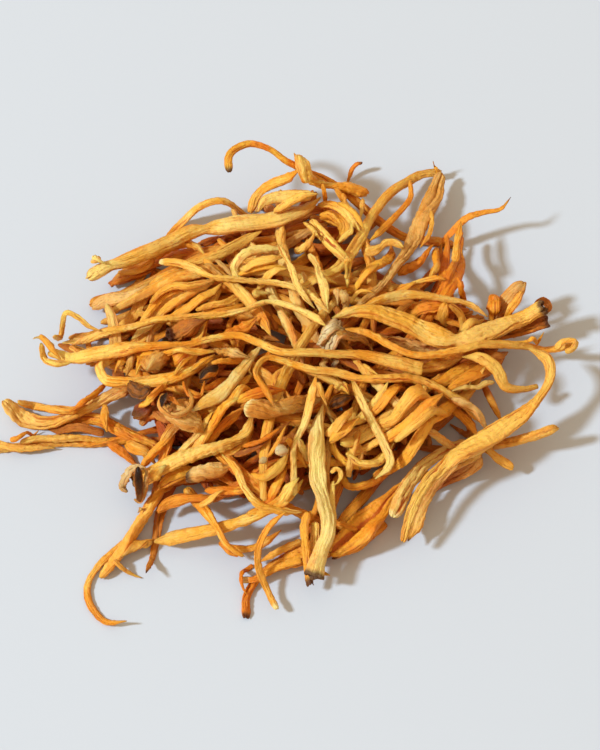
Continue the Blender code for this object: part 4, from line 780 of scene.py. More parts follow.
class BareGround:
    """How bare the heap's ground still is, over the squares of the photo that the heap covers."""

    def __init__(self):
        low, high = np.min(HEAP_EDGE, axis=0), np.max(HEAP_EDGE, axis=0)
        squares = [(across, down) for across in np.arange(low[0], high[0], PATCH)
                   for down in np.arange(low[1], high[1], PATCH)]
        self.squares = np.array([spot for spot in squares if inside(HEAP_EDGE, *spot)])
        self.bare = np.ones(len(self.squares))

    def under(self, route, width):
        """Which squares a stem of this width in mm covers."""
        fine = smooth_through(route, FORK_SPOTS)
        away = np.linalg.norm(self.squares[:, None, :] - fine[None, :, :], axis=2).min(axis=1)
        return away < width / 2 / PIXEL_MM


def side_route(stem, rng):
    """One way of forking off a stem: the route point that it leaves from, and its own route."""
    point = int(rng.integers(1, len(stem.route) - 1))
    before, start, after = (np.array(stem.route[k], float) for k in (point - 1, point, point + 1))
    away = rng.choice([-1, 1]) * math.radians(rng.uniform(*FORK_TURN)) + rng.choice([0, math.pi])
    angle = math.atan2(*(after - before)[::-1]) + away
    bend = math.radians(rng.uniform(*FORK_BEND))
    step = rng.uniform(*FORK_LONG) / PIXEL_MM / (FORK_POINTS - 1)
    route = [start]
    for share in np.linspace(0, 1, FORK_POINTS - 1):
        spot = route[-1] + step * pointing(angle + bend * share)
        if not inside(HEAP_EDGE, *spot):
            break
        route.append(spot)
    return point, route


def plan_forks():
    """The side stems of each stem, over the barest ground in reach, with the route point each leaves from."""
    rng = np.random.default_rng(FORK_DRAWS)
    ground = BareGround()
    for order, stem in enumerate(STEMS):
        covered = ground.under(stem.route, np.mean(stem.widths))
        ground.bare[covered] *= HALF_BARE if order >= HIGH_STEMS_FROM else 0.0
    forks = {stem.name: [] for stem in STEMS}
    for stem in STEMS[:TWICE_FORKED] + STEMS[:FORKED_STEMS]:
        wide = rng.uniform(*FORK_WIDE)
        best, gain = None, LEAST_GAIN
        for _ in range(FORK_WAYS):
            point, route = side_route(stem, rng)
            if len(route) < FORK_FEWEST:
                continue
            found = ground.bare[ground.under(route, wide)].sum()
            if found > gain:
                best, gain = (point, route), found
        if best:
            point, route = best
            ground.bare[ground.under(route, wide)] = 0.0
            widths = [share * wide for share in FORK_TAPER]
            widths[0] = min(widths[0], min(stem.widths))
            fork = Stem(f"{stem.name}_fork", stem.tone, route, widths, ends="worn worn")
            forks[stem.name].append((point, fork))
    return forks


class HeightMap:
    """How high the pile reaches over each square of the table."""

    def __init__(self, height=0.0):
        self.side = int(2 * MAP_HALF / CELL)
        self.top = np.full((self.side, self.side), height)

    def squares(self, x, y):
        return tuple(np.clip(((place + MAP_HALF) / CELL).astype(int), 0, self.side - 1) for place in (y, x))

    def height(self, x, y):
        return self.top[self.squares(x, y)]

    def raise_to(self, x, y, z):
        np.maximum.at(self.top, self.squares(x, y), z)


def heap_height(x, y):
    """How high the heap's dome stands over a place in plan."""
    out = np.hypot((x - HEAP_MIDDLE[0]) / HEAP_REACH[0], (y - HEAP_MIDDLE[1]) / HEAP_REACH[1])
    return HEAP_HIGH * np.clip(1.0 - out**2, 0.0, 1.0)


class LaidStem:
    """A stem in place: its rings' centres and half sizes."""

    def __init__(self, stem, ground, layer, joint=None):
        self.stem = stem
        self.layer = layer  # 0 on the table, 1 on the crown of the heap
        self.joint = joint  # for a side stem: how high it leaves its stem
        self.ring_step = RING_STEP if joint is None else FORK_RING_STEP
        self.sag = SAG if joint is None else FORK_SAG
        self.marks = self.route_marks()
        heights = np.full(len(stem.route), FIRST_HEIGHT)
        for _ in range(LAY_ROUNDS):
            self.set_plan(heights)
            self.rest_on(ground)
            heights = np.interp(self.marks, np.linspace(0, 1, len(self.centres)), self.centres[:, 2])
        self.heights = heights  # of the axis at the route's points

    def route_marks(self):
        """How far along the stem each route point lies, from 0 to 1."""
        steps = np.linalg.norm(np.diff(np.asarray(self.stem.route, float), axis=0), axis=1)
        along = np.concatenate([[0], np.cumsum(steps)])
        return along / along[-1]

    def set_plan(self, heights):
        """Puts its rings in plan, for an axis this high at the route's points."""
        plan = [on_table(*spot, high) for spot, high in zip(self.stem.route, heights)]
        length = sum(math.dist(a, b) for a, b in zip(plan, plan[1:]))
        count = max(FEWEST_RINGS, round(length / self.ring_step) + 1)
        self.centres = np.zeros((count, 3))
        self.centres[:, :2] = smooth_through(plan, count)
        self.half_width = spread(self.stem.widths, count) / 2
        self.half_thick = self.half_width * self.stem.flat
        self.least = self.layer * heap_height(self.centres[:, 0], self.centres[:, 1])
        for point, high in self.stem.lifts.items():
            ring = round(self.marks[point] * (count - 1))
            self.least[ring] = max(self.least[ring], high)

    def outline(self, step, across, grow):
        """Plan places over the stem: the ring before, the share of the way on, x, y, axis and half height."""
        x, y, z = self.centres.T
        length = np.linalg.norm(np.diff(self.centres[:, :2], axis=0), axis=1).sum()
        spots = np.linspace(0, len(z) - 1, max(FEWEST_ROWS, int(length / step)))
        ring = np.minimum(spots.astype(int), len(z) - 2)
        rows = [np.interp(spots, np.arange(len(z)), row)
                for row in (x, y, z, self.half_width, self.half_thick, np.gradient(z))]
        x, y, z, wide, thick, rise = (row[:, None] for row in rows)
        ahead = np.stack([np.gradient(rows[0]), np.gradient(rows[1])], axis=1)
        ahead /= np.linalg.norm(ahead, axis=1)[:, None]
        offset = (wide + grow) * across[None, :]
        run = length / (len(self.centres) - 1)
        half = (thick + grow) * np.sqrt(1 + (rise / run) ** 2) * np.sqrt(1 - across[None, :] ** 2)
        return ring, spots - ring, x - ahead[:, 1:] * offset, y + ahead[:, :1] * offset, z, half

    def rest_on(self, ground):
        """Lays the stem on what is below: it bridges gaps, and its free ends droop."""
        z = np.maximum(self.half_thick, self.least)
        for _ in range(REST_ROUNDS):
            self.centres[:, 2] = z
            ring, share, x, y, _, half = self.outline(ROW_STEP, ACROSS, 0.0)
            need = (ground.height(x, y) + half).max(axis=1)
            for _ in range(SAG_ROUNDS):
                for ends, nearer, further in ((0, 1, 2), (-1, -2, -3)):
                    z[ends] = z[nearer] + min(z[nearer] - z[further], TIP_RISE) - TIP_DROOP
                z[1:-1] = 0.5 * z[1:-1] + 0.25 * (z[:-2] + z[2:]) - self.sag
                z = np.maximum(z, np.maximum(self.least, self.half_thick))
                for _ in range(PUSH_ROUNDS):
                    short = np.maximum(need - ((1 - share) * z[ring] + share * z[ring + 1]), 0)
                    weight = (1 - share) ** 2 + share**2
                    np.maximum.at(lift := np.zeros(len(z)), ring, short * (1 - share) / weight)
                    np.maximum.at(lift, ring + 1, short * share / weight)
                    z = z + lift
                    if self.joint is not None:
                        z[0] = self.joint
        self.centres[:, 2] = z

    def duck(self, ceiling):
        """Lowers the stem to pass below the stems that are laid after it."""
        z = np.minimum(self.centres[:, 2], HIGHEST)
        for _ in range(DUCK_ROUNDS):
            self.centres[:, 2] = z
            ring, _, x, y, axis, half = self.outline(ROW_STEP, ACROSS, 0.0)
            excess = np.maximum((axis + half + ceiling.height(x, y)).max(axis=1), 0)
            lower = np.zeros(len(z))
            np.maximum.at(lower, ring, excess)
            np.maximum.at(lower, ring + 1, excess)
            z = np.maximum(z - lower, self.half_thick)
        self.centres[:, 2] = z

    def mark(self, ground):
        """Draws its upper side on a height map."""
        _, _, x, y, z, half = self.outline(MARK_STEP, MARK_ACROSS, GAP)
        ground.raise_to(x, y, z + half)

    def hang_over(self, depths):
        """Draws its lower side, as a height below zero."""
        _, _, x, y, z, half = self.outline(MARK_STEP, MARK_ACROSS, 0.0)
        depths.raise_to(x, y, half - z)


class UnderStem(LaidStem):
    """A stem deep in the heap: it keeps to a share of the heap's height, and nothing is laid on it."""

    def rest_on(self, ground):
        self.centres[:, 2] = np.maximum(self.least, UNDER_LOWEST + self.half_thick)


def under_route(route, rng):
    """The part within the heap of a route that runs beside another."""
    points = np.asarray(route, float)
    middle = points.mean(axis=0)
    turn = rng.normal(0, UNDER_TURN)
    points = (points - middle) @ np.array([pointing(turn), pointing(turn + math.pi / 2)])
    ahead = points[-1] - points[0]
    across = np.array([-ahead[1], ahead[0]]) / np.linalg.norm(ahead)
    away = rng.uniform(*UNDER_OFFSET) * rng.choice([-1, 1])
    points = points * rng.uniform(*UNDER_GROW) + middle + across * away + ahead * rng.normal(0, UNDER_SLIDE)
    return [spot for spot in smooth_through(points, UNDER_SPOTS) if inside(HEAP_EDGE, *spot)][::UNDER_KEEP]


def bed_route(rng):
    """A short route low in the heap, running roughly as the stems there do."""
    edge = np.array(HEAP_EDGE, float)
    while True:
        middle = rng.uniform(edge.min(axis=0), edge.max(axis=0))
        if inside(HEAP_EDGE, *middle):
            break
    routes = [np.asarray(stem.route, float) for stem in STEMS]
    spots = np.vstack([(route[1:] + route[:-1]) / 2 for route in routes])
    ways = np.vstack([np.diff(route, axis=0) for route in routes])
    way = ways[np.hypot(*(spots - middle).T).argmin()]
    turn = math.atan2(way[1], way[0]) + rng.normal(0, BED_TURN)
    bend = rng.normal(0, BED_BEND)
    reach = rng.uniform(*BED_REACH)
    spots = [middle + share * reach * pointing(turn + 0.5 * bend * share)
             for share in np.linspace(-1, 1, BED_POINTS)]
    return [spot for spot in spots if inside(HEAP_EDGE, *spot)]


def lay_frame():
    """The frame's stems as they lie there, each with its side stems, from the lowest up."""
    ground = HeightMap()
    forks = plan_forks()
    stems = []
    for order, stem in enumerate(STEMS):
        layer = max(0, order + 1 - TABLE_STEMS) / (len(STEMS) - TABLE_STEMS)
        placed = LaidStem(stem, ground, layer)
        sides = [LaidStem(fork, ground, layer * FORK_LOW, placed.heights[point])
                 for point, fork in forks[stem.name]]
        for part in [placed, *sides]:
            part.mark(ground)
        stems.append((placed, sides))
    return stems


def ceilings_over(stems):
    """For each stem of the frame, how low the stems laid after it hang, as heights below zero."""
    depths, ceilings = HeightMap(-OPEN_SKY), []
    for placed, _ in reversed(stems):
        ceilings.insert(0, HeightMap())
        ceilings[0].top = depths.top.copy()
        placed.hang_over(depths)
    return ceilings


def lay_everything():
    """The frame's stems, the smaller stems that lie on and between them, and the stems below them."""
    stems, twigs, under = lay_frame(), [], []
    ground = HeightMap()
    rng = np.random.default_rng(UNDER_DRAWS)

    def tone_of(shares):
        return rng.choice(list(shares), p=list(shares.values()))

    def put_under(route, widths, tone, layer):
        under.append(UnderStem(Stem("under", tone, route, widths, ends="worn worn"), None, layer))

    for (placed, sides), ceiling in zip(stems, ceilings_over(stems)):
        for part in [placed, *sides]:
            part.mark(ground)
        for twig in TWIGS.get(placed.stem.name, []):
            grown = LaidStem(twig, ground, placed.layer)
            grown.duck(ceiling)
            grown.mark(ground)
            twigs.append(grown)
        for side in sides:
            side.half_width = side.half_width * FORK_SLIM
        for _ in range(UNDER_COPIES if placed.layer > BARELY else TABLE_COPIES):
            route = under_route(placed.stem.route, rng)
            if len(route) >= FEWEST_POINTS:
                wide = rng.uniform(*UNDER_WIDTH)
                widths = [wide * rng.uniform(0.5, 0.8), wide, wide * rng.uniform(0.8, 1.1), wide * 0.6]
                put_under(route, widths, tone_of(UNDER_TONES), placed.layer * rng.uniform(*UNDER_SHARE))
    for _ in range(BED_STEMS):
        route = bed_route(rng)
        if len(route) >= FEWEST_POINTS:
            wide = rng.uniform(*BED_WIDTH)
            widths = [wide * 0.6, wide, wide * 0.9, wide * 0.5]
            put_under(route, widths, tone_of(BED_TONES), rng.uniform(*BED_SHARE))
    return stems, twigs, under


def upper_side(stems, twigs):
    """The heap's upper side, evened out over a few millimetres, below which shade is painted on the skin."""
    cover = HeightMap()
    for part in [part for placed, sides in stems for part in (placed, *sides)] + twigs:
        part.mark(cover)
    steps = range(-COVER_REACH, COVER_REACH + 1)
    for axis in (0, 1):
        cover.top = sum(np.roll(cover.top, step, axis) for step in steps) / len(steps)
    return cover


# How a dried stem's surface is shaped. Shares are of the half thickness unless said otherwise.
FURROWS = (1, 3)  # fewest and most furrows round a stem
FURROW_DEEP = 0.52
FURROW_WIDE = (0.09, 0.22)  # radians round the section
FURROW_DRIFT = 0.45  # radians that a furrow wanders round
FLUTE_MM = (0.75, 1.25)  # from one lengthwise ridge to the next
FLUTE_HIGH = 0.30
FLUTE_EDGE = 0.34  # how much of a valley is coloured as a furrow, partly painted shade
BLADE = (0.9, 1.6)  # how thin the ribbon's edges are: 1 is an oval, 2 is two sharp edges
BULGE = 0.07  # slow swelling and shrinking of the width
TURN = math.radians(34.0)  # slow turning of the ribbon about its axis
SWAY = 0.22  # sideways bends of the axis, as a share of the half width
CREASE_MM = 0.06  # height of the cross wrinkles
GRAIN_MM = 0.034  # height of the long grain lines
PINCH_EVERY = 17.0  # mm from one pinched place of a stem to the next
PINCH_WIDE = (0.06, 0.28)  # share of the width that a pinched place loses
LEAST_WIDE = 0.12  # mm of half width

# Wavelengths along a stem, in mm.
SWAY_WAVES = (16.0, 5.0)
RISE_WAVES = 12.0
BULGE_WAVES = 13.0
RIBBON_WAVES = 20.0  # of its turning, its fold and how thin its edges are
FURROW_WAVES = (24.0, 12.0, 16.0)  # of a furrow's place, width and depth
FLUTE_WAVES = (22.0, 4.0, 14.0, 12.0)  # of the flutes' place, its quiver, where they merge, their height
GRAIN_WAVES = 20.0
CREASE_WAVES = (0.9, 2.6)  # shortest and longest

# Where the skin darkens, by its dark ends and by painted shade deep in the heap, and how its ends are closed.
CALM = 3.0  # mm from an end within which a stem doesn't sway
END_FADE = 2.4  # mm from an end over which its pale or dark colour fades
MOUTH_DEEP = 3.4  # mm that an open end is hollow
FIT = (0.8, 1.45)  # least and most that a section is scaled to look as wide as its traced stem
PAINTED_SHADE_FROM = 1.7  # mm below the heap's upper side, where painted shade on the skin begins
PAINTED_SHADE_SPAN = 5.5  # and how much further down the painted shade is darkest
COVER_REACH = 7  # squares of the height map over which that upper side is evened out
VIEW_RIGHT = np.array([1.0, 0.0, 0.0])  # the photo's directions on the clump
VIEW_UP = np.array([0.0, math.sin(LOOK_DOWN), math.cos(LOOK_DOWN)])
ROUND_TURN = 2 * np.pi
SPINE_SPOTS = 400  # places where a stem's direction is worked out
SHORT_END = {  # the rings that close a closed end: mm from the end, size, jag, hollow
    "worn": [(0.0, 0.22, 0.30, 0.0), (0.12, 0.52, 0.40, 0.0), (0.4, 0.76, 0.25, 0.0), (0.9, 0.92, 0.08, 0.0)],
    "point": [(0.0, 0.16, 0.0, 0.0), (0.5, 0.34, 0.0, 0.0), (1.3, 0.55, 0.0, 0.0), (2.4, 0.78, 0.0, 0.0)],
}
ROUND_END = (0.12, 0.4, 0.75, 1.1)  # radians from the tip of a round end to its rings
MOUTH = [  # the rings of a mouth: shares of its depth and mm from the end, size, share of the jag, hollow
    (1.0, 0.0, 0.05, 0.0, 1.0), (0.9, 0.0, 0.34, 0.0, 1.0), (0.6, 0.0, 0.58, 0.3, 1.0),
    (0.25, 0.0, 0.74, 0.8, 0.8), (0.0, 0.02, 0.86, 1.0, 0.35), (0.0, -0.10, 0.95, 1.0, 0.0),
    (0.0, 0.05, 1.03, 1.0, 0.0), (0.0, 0.45, 1.06, 0.8, 0.0), (0.0, 1.1, 1.03, 0.4, 0.0),
]


def wander(places, wavelength, rng, waves=4):
    """Smooth chance values between about -1 and 1, along places in mm."""
    total = np.zeros_like(places, dtype=float)
    for _ in range(waves):
        length = wavelength * rng.uniform(0.6, 1.9)
        total += rng.uniform(0.5, 1.0) * np.sin(ROUND_TURN * places / length + rng.uniform(0, ROUND_TURN))
    return total / (0.62 * waves)


def end_stations(kind, half_width):
    """The rings that close an end, from its innermost: mm from the end, size, jag, hollow."""
    form = kind.split("-")[0]
    if form in SHORT_END:
        return SHORT_END[form]
    if form == "round":
        return [(half_width * 0.8 * (1 - math.cos(a)), math.sin(a), 0.0, 0.0) for a in ROUND_END]
    deep, torn = min(MOUTH_DEEP, 1.6 * half_width + 0.6), 0.28
    if form == "ragged":
        deep, torn = 0.7 * half_width, 0.55
    return [(share * deep + more, size, jag * torn, hollow) for share, more, size, jag, hollow in MOUTH]


def stations(length, half_width, ends, step):
    """Every ring of a stem: mm from its start, size, jag, hollow, and the end whose jag it takes."""
    head = [(s, *ring, -1) for s, *ring in end_stations(ends[0], half_width[0])]
    tail = [(length - s, *ring, 1) for s, *ring in end_stations(ends[1], half_width[-1])]
    start, stop = head[-1][0], tail[-1][0]
    count = max(4, int((stop - start) / step))
    body = [(s, 1.0, 0.0, 0.0, 0) for s in np.linspace(start, stop, count + 2)[1:-1]]
    return np.array(head + body + tail[::-1]).T


def furrow_field(around, along, rng, deep):
    """How far each place round and along a stem sinks into its furrows."""
    sunk = np.zeros((len(along), len(around)))
    for _ in range(rng.integers(FURROWS[0], FURROWS[1] + 1)):
        middle = rng.uniform(0, ROUND_TURN) + FURROW_DRIFT * wander(along, FURROW_WAVES[0], rng)
        wide = rng.uniform(*FURROW_WIDE) * (1 + 0.35 * wander(along, FURROW_WAVES[1], rng, 2))
        depth = 0.65 + 0.55 * wander(along, FURROW_WAVES[2], rng, 3)
        depth = np.clip(depth, 0.0, 1.2) * rng.uniform(0.6, 1.0)
        away = (around - middle[:, None] + np.pi) % ROUND_TURN - np.pi
        sunk += depth[:, None] * np.exp(-np.abs(away / wide[:, None]) ** 1.4)
    return np.clip(sunk, 0, 1.3) * deep


def flutes(around, along, girth, rng):
    """Lengthwise ridges, rounded with sharp valleys between: their height from 0 to 1, and strength."""
    count = max(4, int(girth / rng.uniform(*FLUTE_MM)))
    place, quiver, merging, height = FLUTE_WAVES
    uneven = around + 0.35 * np.sin(around + rng.uniform(0, 6.3))
    uneven = uneven + 0.2 * np.sin(2 * around + rng.uniform(0, 6.3))
    drift = rng.uniform(0, 6.3) + 0.55 * wander(along, place, rng, 3) + 0.07 * wander(along, quiver, rng, 2)
    merged = 0.5 + 0.5 * np.sin(uneven * rng.integers(1, 3) + 1.5 * wander(along, merging, rng, 3)[:, None])
    ridge = np.abs(np.sin(count * (uneven - drift[:, None]) / 2))
    strength = np.clip(0.75 + 0.5 * wander(along, height, rng, 3), 0.25, 1.3)[:, None]
    return ridge**0.8, strength * (0.45 + 0.55 * merged)


def ripples(around, along, rng, wavelengths, turns, waves=9):
    """Small ridges: waves along the stem that also wind round it."""
    total = np.zeros((len(along), len(around)))
    for _ in range(waves):
        length = rng.uniform(*wavelengths)
        wind = rng.integers(-turns, turns + 1)
        total += np.sin(ROUND_TURN * along[:, None] / length + wind * around + rng.uniform(0, ROUND_TURN))
    return total / math.sqrt(waves)


def grain(around, along, rng, waves=7):
    """Long grain lines that run with the stem."""
    total = np.zeros((len(along), len(around)))
    for _ in range(waves):
        lines = rng.integers(6, 14)
        drift = wander(along, GRAIN_WAVES, rng, 2)[:, None] * 1.4
        total += np.sin(lines * around + drift * lines * 0.3 + rng.uniform(0, ROUND_TURN))
    return total / math.sqrt(waves)


def pinched(along, length, rng):
    """How much of its width a stem keeps where it is pinched, and how far it turns there."""
    keep, turn = np.ones_like(along), np.zeros_like(along)
    for _ in range(rng.poisson(length / PINCH_EVERY)):
        away = (along - rng.uniform(3.0, max(3.5, length - 3.0))) / rng.uniform(0.9, 2.6)
        keep -= rng.uniform(*PINCH_WIDE) * np.exp(-away**2)
        turn += math.radians(rng.normal(0, 26.0)) * np.tanh(away)
    return np.maximum(keep, 0.5), turn


def as_traced(offsets, ahead, half_width):
    """Scales and shifts each ring so that from the photo's side it is as wide as traced, and in its place."""
    across, rise = ahead @ VIEW_RIGHT, ahead @ VIEW_UP
    sideways = across[:, None] * VIEW_UP - rise[:, None] * VIEW_RIGHT
    sideways /= np.maximum(np.hypot(across, rise), 0.3)[:, None]
    spans = np.einsum("rsk,rk->rs", offsets, sideways)
    low, high = spans.min(axis=1), spans.max(axis=1)
    scale = np.clip(2 * half_width / (high - low), *FIT)
    scale = np.convolve(np.pad(scale, 2, "edge"), np.full(5, 0.2), "valid")
    middle = sideways * (scale * (low + high) / 2)[:, None]
    return offsets * scale[:, None, None] - middle[:, None, :]


def directions(centres, ring_at):
    """Unit directions ahead, to the left and up, at places between a stem's rings."""
    spots = np.linspace(0, len(centres) - 1, SPINE_SPOTS)
    ahead = np.gradient(smooth_at(centres, spots), axis=0)
    ahead = np.stack([np.interp(ring_at, spots, column) for column in ahead.T], axis=1)
    ahead /= np.linalg.norm(ahead, axis=1)[:, None]
    side = np.cross([0, 0, 1.0], ahead)
    side /= np.linalg.norm(side, axis=1)[:, None]
    return ahead, side, np.cross(ahead, side)


def skin_faces(count, sides):
    """The faces of a tube of rings, whose two closing points come after the rings' points."""
    near = np.arange(count * sides).reshape(count, sides)
    after = np.roll(near, -1, axis=1)
    quads = np.stack([near[:-1], after[:-1], after[1:], near[1:]], axis=-1).reshape(-1, 4)
    tip = np.full(sides, count * sides)
    caps = [np.stack([tip, after[0], near[0]], axis=-1), np.stack([tip + 1, near[-1], after[-1]], axis=-1)]
    return quads, np.vstack(caps)


# deep is the painted shade, in umber, that the whole stem gets
def ribbon(laid, rng, step, most_sides, offset, cover, deep=0.0):
    """The fine surface of one stem: its points, faces and the values that its colours read."""
    stem = laid.stem
    ends = stem.ends.split()
    sides = int(np.clip(FACES_PER_MM * np.mean(stem.widths), FEWEST_SIDES, most_sides))
    run = np.linalg.norm(np.diff(laid.centres, axis=0), axis=1)
    length = run.sum()
    along, size, jag, hollow, which = stations(length, laid.half_width, ends, step)
    count = len(along)
    ring_at = np.interp(along, np.concatenate([[0], np.cumsum(run)]), np.arange(len(run) + 1))
    ahead, side, up = directions(laid.centres, ring_at)
    wide = np.maximum(smooth_at(laid.half_width, ring_at), LEAST_WIDE)
    mean_wide = laid.half_width.mean()
    thick = (stem.flat * np.sqrt(wide * mean_wide))[:, None]

    calm = SWAY * mean_wide * np.clip(np.minimum(along, length - along) / CALM, 0, 1)
    sway = wander(along, SWAY_WAVES[0], rng) + 0.16 * wander(along, SWAY_WAVES[1], rng)
    centres = smooth_at(laid.centres, ring_at) + side * (calm * sway)[:, None]
    centres = centres + up * (0.5 * calm * wander(along, RISE_WAVES, rng))[:, None]
    lean = TURN * stem.twist * wander(along, RIBBON_WAVES, rng, 3)
    keep, turn = pinched(along, length, rng)
    lean = (lean + turn * stem.twist)[:, None]
    wide = (wide * (1 + BULGE * wander(along, BULGE_WAVES, rng)) * keep)[:, None]

    around = np.arange(sides) * ROUND_TURN / sides
    sunk = furrow_field(around, along, rng, FURROW_DEEP * stem.furrow)
    small = CREASE_MM * ripples(around, along, rng, CREASE_WAVES, 3) + GRAIN_MM * grain(around, along, rng)
    fold = stem.fold * (0.5 + 0.8 * wander(along, RIBBON_WAVES, rng, 3))[:, None]
    ridge, strength = flutes(around, along, math.pi * (1 + stem.flat) * mean_wide, rng)
    blade = np.mean(BLADE) + 0.5 * np.ptp(BLADE) * wander(along, RIBBON_WAVES, rng, 3)[:, None]
    blade = np.clip(blade, *BLADE)
    unit_x, unit_y = np.cos(around), np.sin(around)
    raised = FLUTE_HIGH * stem.furrow * strength * (ridge - 0.7) * thick + small * stem.rough
    inward = 1 - sunk * np.minimum(1.0, 0.35 + 0.65 * np.abs(unit_y))
    x = wide * unit_x * (1 - 0.35 * sunk) + raised * unit_x * 0.8
    y = thick * np.sign(unit_y) * np.abs(unit_y) ** blade * inward + raised * unit_y
    y = y + fold * wide * (unit_x**2 - 0.45)
    turned_x = x * np.cos(lean) - y * np.sin(lean)
    turned_y = x * np.sin(lean) + y * np.cos(lean)
    offsets = turned_x[:, :, None] * side[:, None, :] + turned_y[:, :, None] * up[:, None, :]
    points = centres[:, None, :] + as_traced(offsets, ahead, wide[:, 0]) * size[:, None, None]
    teeth = 0.6 * ripples(around, np.zeros(1), rng, (1.0, 2.0), 7)[0]
    shove = (which * jag * mean_wide)[:, None] * teeth
    points = points + shove[:, :, None] * ahead[:, None, :]
    points[:, :, 2] = np.maximum(points[:, :, 2], 0.0)
    points = np.vstack([points.reshape(-1, 3), points[0].mean(axis=0), points[-1].mean(axis=0)])

    def spread_round(values):
        values = np.broadcast_to(values, (count, sides)).reshape(-1)
        return np.concatenate([values, values[[0, -1]]])

    fades = [np.clip(1 - place / END_FADE, 0, 1) for place in (along, length - along)]
    pale, dark = (np.maximum(*[fade * end.endswith(colour) for fade, end in zip(fades, ends)])
                  for colour in ("pale", "dark"))
    valley = np.clip(1 - ridge / FLUTE_EDGE, 0, 1) * np.clip(strength, 0, 1)
    buried = cover.height(points[:, 0], points[:, 1]) - points[:, 2]
    values = {
        # furrows and valleys between flutes, coloured darker: partly the skin's own colour, partly painted
        # shade
        "furrow": spread_round(np.clip(sunk / FURROW_DEEP + valley, 0, 1)),
        # painted light: where the ribbon's thin edges lie, tinted amber as if lit through
        "edge": spread_round(np.abs(unit_x) ** 5),
        # painted shade: how far the skin lies below the heap's upper side, at least a set amount for side and
        # under stems
        "deep": np.maximum(deep, np.clip((buried - PAINTED_SHADE_FROM) / PAINTED_SHADE_SPAN, 0, 1)),
        # how far inside a mouth, where shade is painted
        "hollow": spread_round(hollow[:, None]),
        "pale_end": spread_round(np.maximum(pale, stem.cream)[:, None]),
        "dark_end": spread_round(dark[:, None]),
        "along": spread_round(along[:, None] + offset),
        "around": spread_round(np.abs(around - np.pi) * mean_wide),
        "shade": np.full(len(points), rng.uniform(0, 1)),
    }
    return points, *skin_faces(count, sides), values


def make_piece(name, ribbons, material, shift):
    """One piece of several ribbons, with the values that its colours read."""
    points, quads, caps, values = zip(*ribbons)
    starts = np.cumsum([0] + [len(some) for some in points])
    faces = [(some + start).tolist() for kind in (quads, caps) for some, start in zip(kind, starts)]
    mesh = bpy.data.meshes.new(name)
    mesh.from_pydata(((np.vstack(points) - shift) * MM).tolist(), [], sum(faces, []))
    mesh.shade_smooth()
    for value_name in values[0]:
        layer = mesh.attributes.new(value_name, "FLOAT", "POINT")
        row = np.concatenate([some[value_name] for some in values])
        layer.data.foreach_set("value", row.astype(np.float32))
    mesh.materials.append(material)
    piece = bpy.data.objects.new(name, mesh)
    bpy.context.scene.collection.objects.link(piece)
    return piece


@dataclass
class Finish:
    """The colours of one kind of dried skin."""

    slot: str  # the record's material slot; not used
    ridge: tuple
    skin: tuple
    furrow: tuple
    rough: float


FINISHES = {
    "pale": Finish("pale_stem", (0.98, 0.67, 0.165), (0.95, 0.44, 0.040), (0.53, 0.066, 0.001), 0.50),
    "gold": Finish("gold_stem", (0.98, 0.60, 0.105), (0.93, 0.335, 0.014), (0.47, 0.040, 0.001), 0.48),
    "orange": Finish("orange_stem", (0.96, 0.45, 0.036), (0.82, 0.205, 0.005), (0.39, 0.026, 0.001), 0.48),
    "tan": Finish("tan_stem", (0.84, 0.53, 0.16), (0.66, 0.28, 0.040), (0.22, 0.045, 0.004), 0.60),
    "brown": Finish("brown_stem", (0.58, 0.20, 0.022), (0.32, 0.075, 0.006), (0.10, 0.015, 0.001), 0.62),
    "base": Finish("cream_base", (0.76, 0.56, 0.27), (0.60, 0.36, 0.12), (0.16, 0.050, 0.010), 0.72),
    # painted shadow: near black, for the darkest gaps
    "painted_shadow": Finish("brown_stem", (0.045, 0.014, 0.004), (0.022, 0.007, 0.002), (0.012, 0.004, 0.001), 0.40),
    # painted shade: a darker copy of the orange finish, for stems low in the heap
    "deep": Finish("orange_stem", (0.62, 0.18, 0.008), (0.44, 0.085, 0.002), (0.18, 0.020, 0.001), 0.60),
}
CREAM = (0.97, 0.70, 0.24)
# AMBER is a random tinge, and also the painted glow at thin edges and the painted shade low down and to the
# right
AMBER = (0.82, 0.225, 0.008)
# painted shade for skin deep in the heap
PAINTED_SHADE_UMBER = (0.44, 0.045, 0.001)
CHAR = (0.075, 0.018, 0.004)
# painted shade inside an open end
MOUTH_PAINTED_SHADE = (0.16, 0.05, 0.012)
DUST = (0.20, 0.07, 0.015)
PAINTED_SHADE_HEIGHTS = (0.002, 0.012)  # between these heights, painted shade: the skin turns from a saturated amber near the table to its own colour
PAINTED_SHADE_ACROSS = (0.004, 0.034)  # and between these places across the heap it turns amber as well, painted shade on the side away from the light
SKIN_LIGHT = {  # how the skin takes light
    "Subsurface Weight": 0.18, "Subsurface Radius": (1.0, 0.36, 0.06), "Subsurface Scale": 0.0008,
    "Specular IOR Level": 0.28,
}
BUMP = {"Strength": 0.9, "Distance": 0.0007}
TABLE_TINTS = ((0.570, 0.556, 0.539), (0.576, 0.563, 0.546))


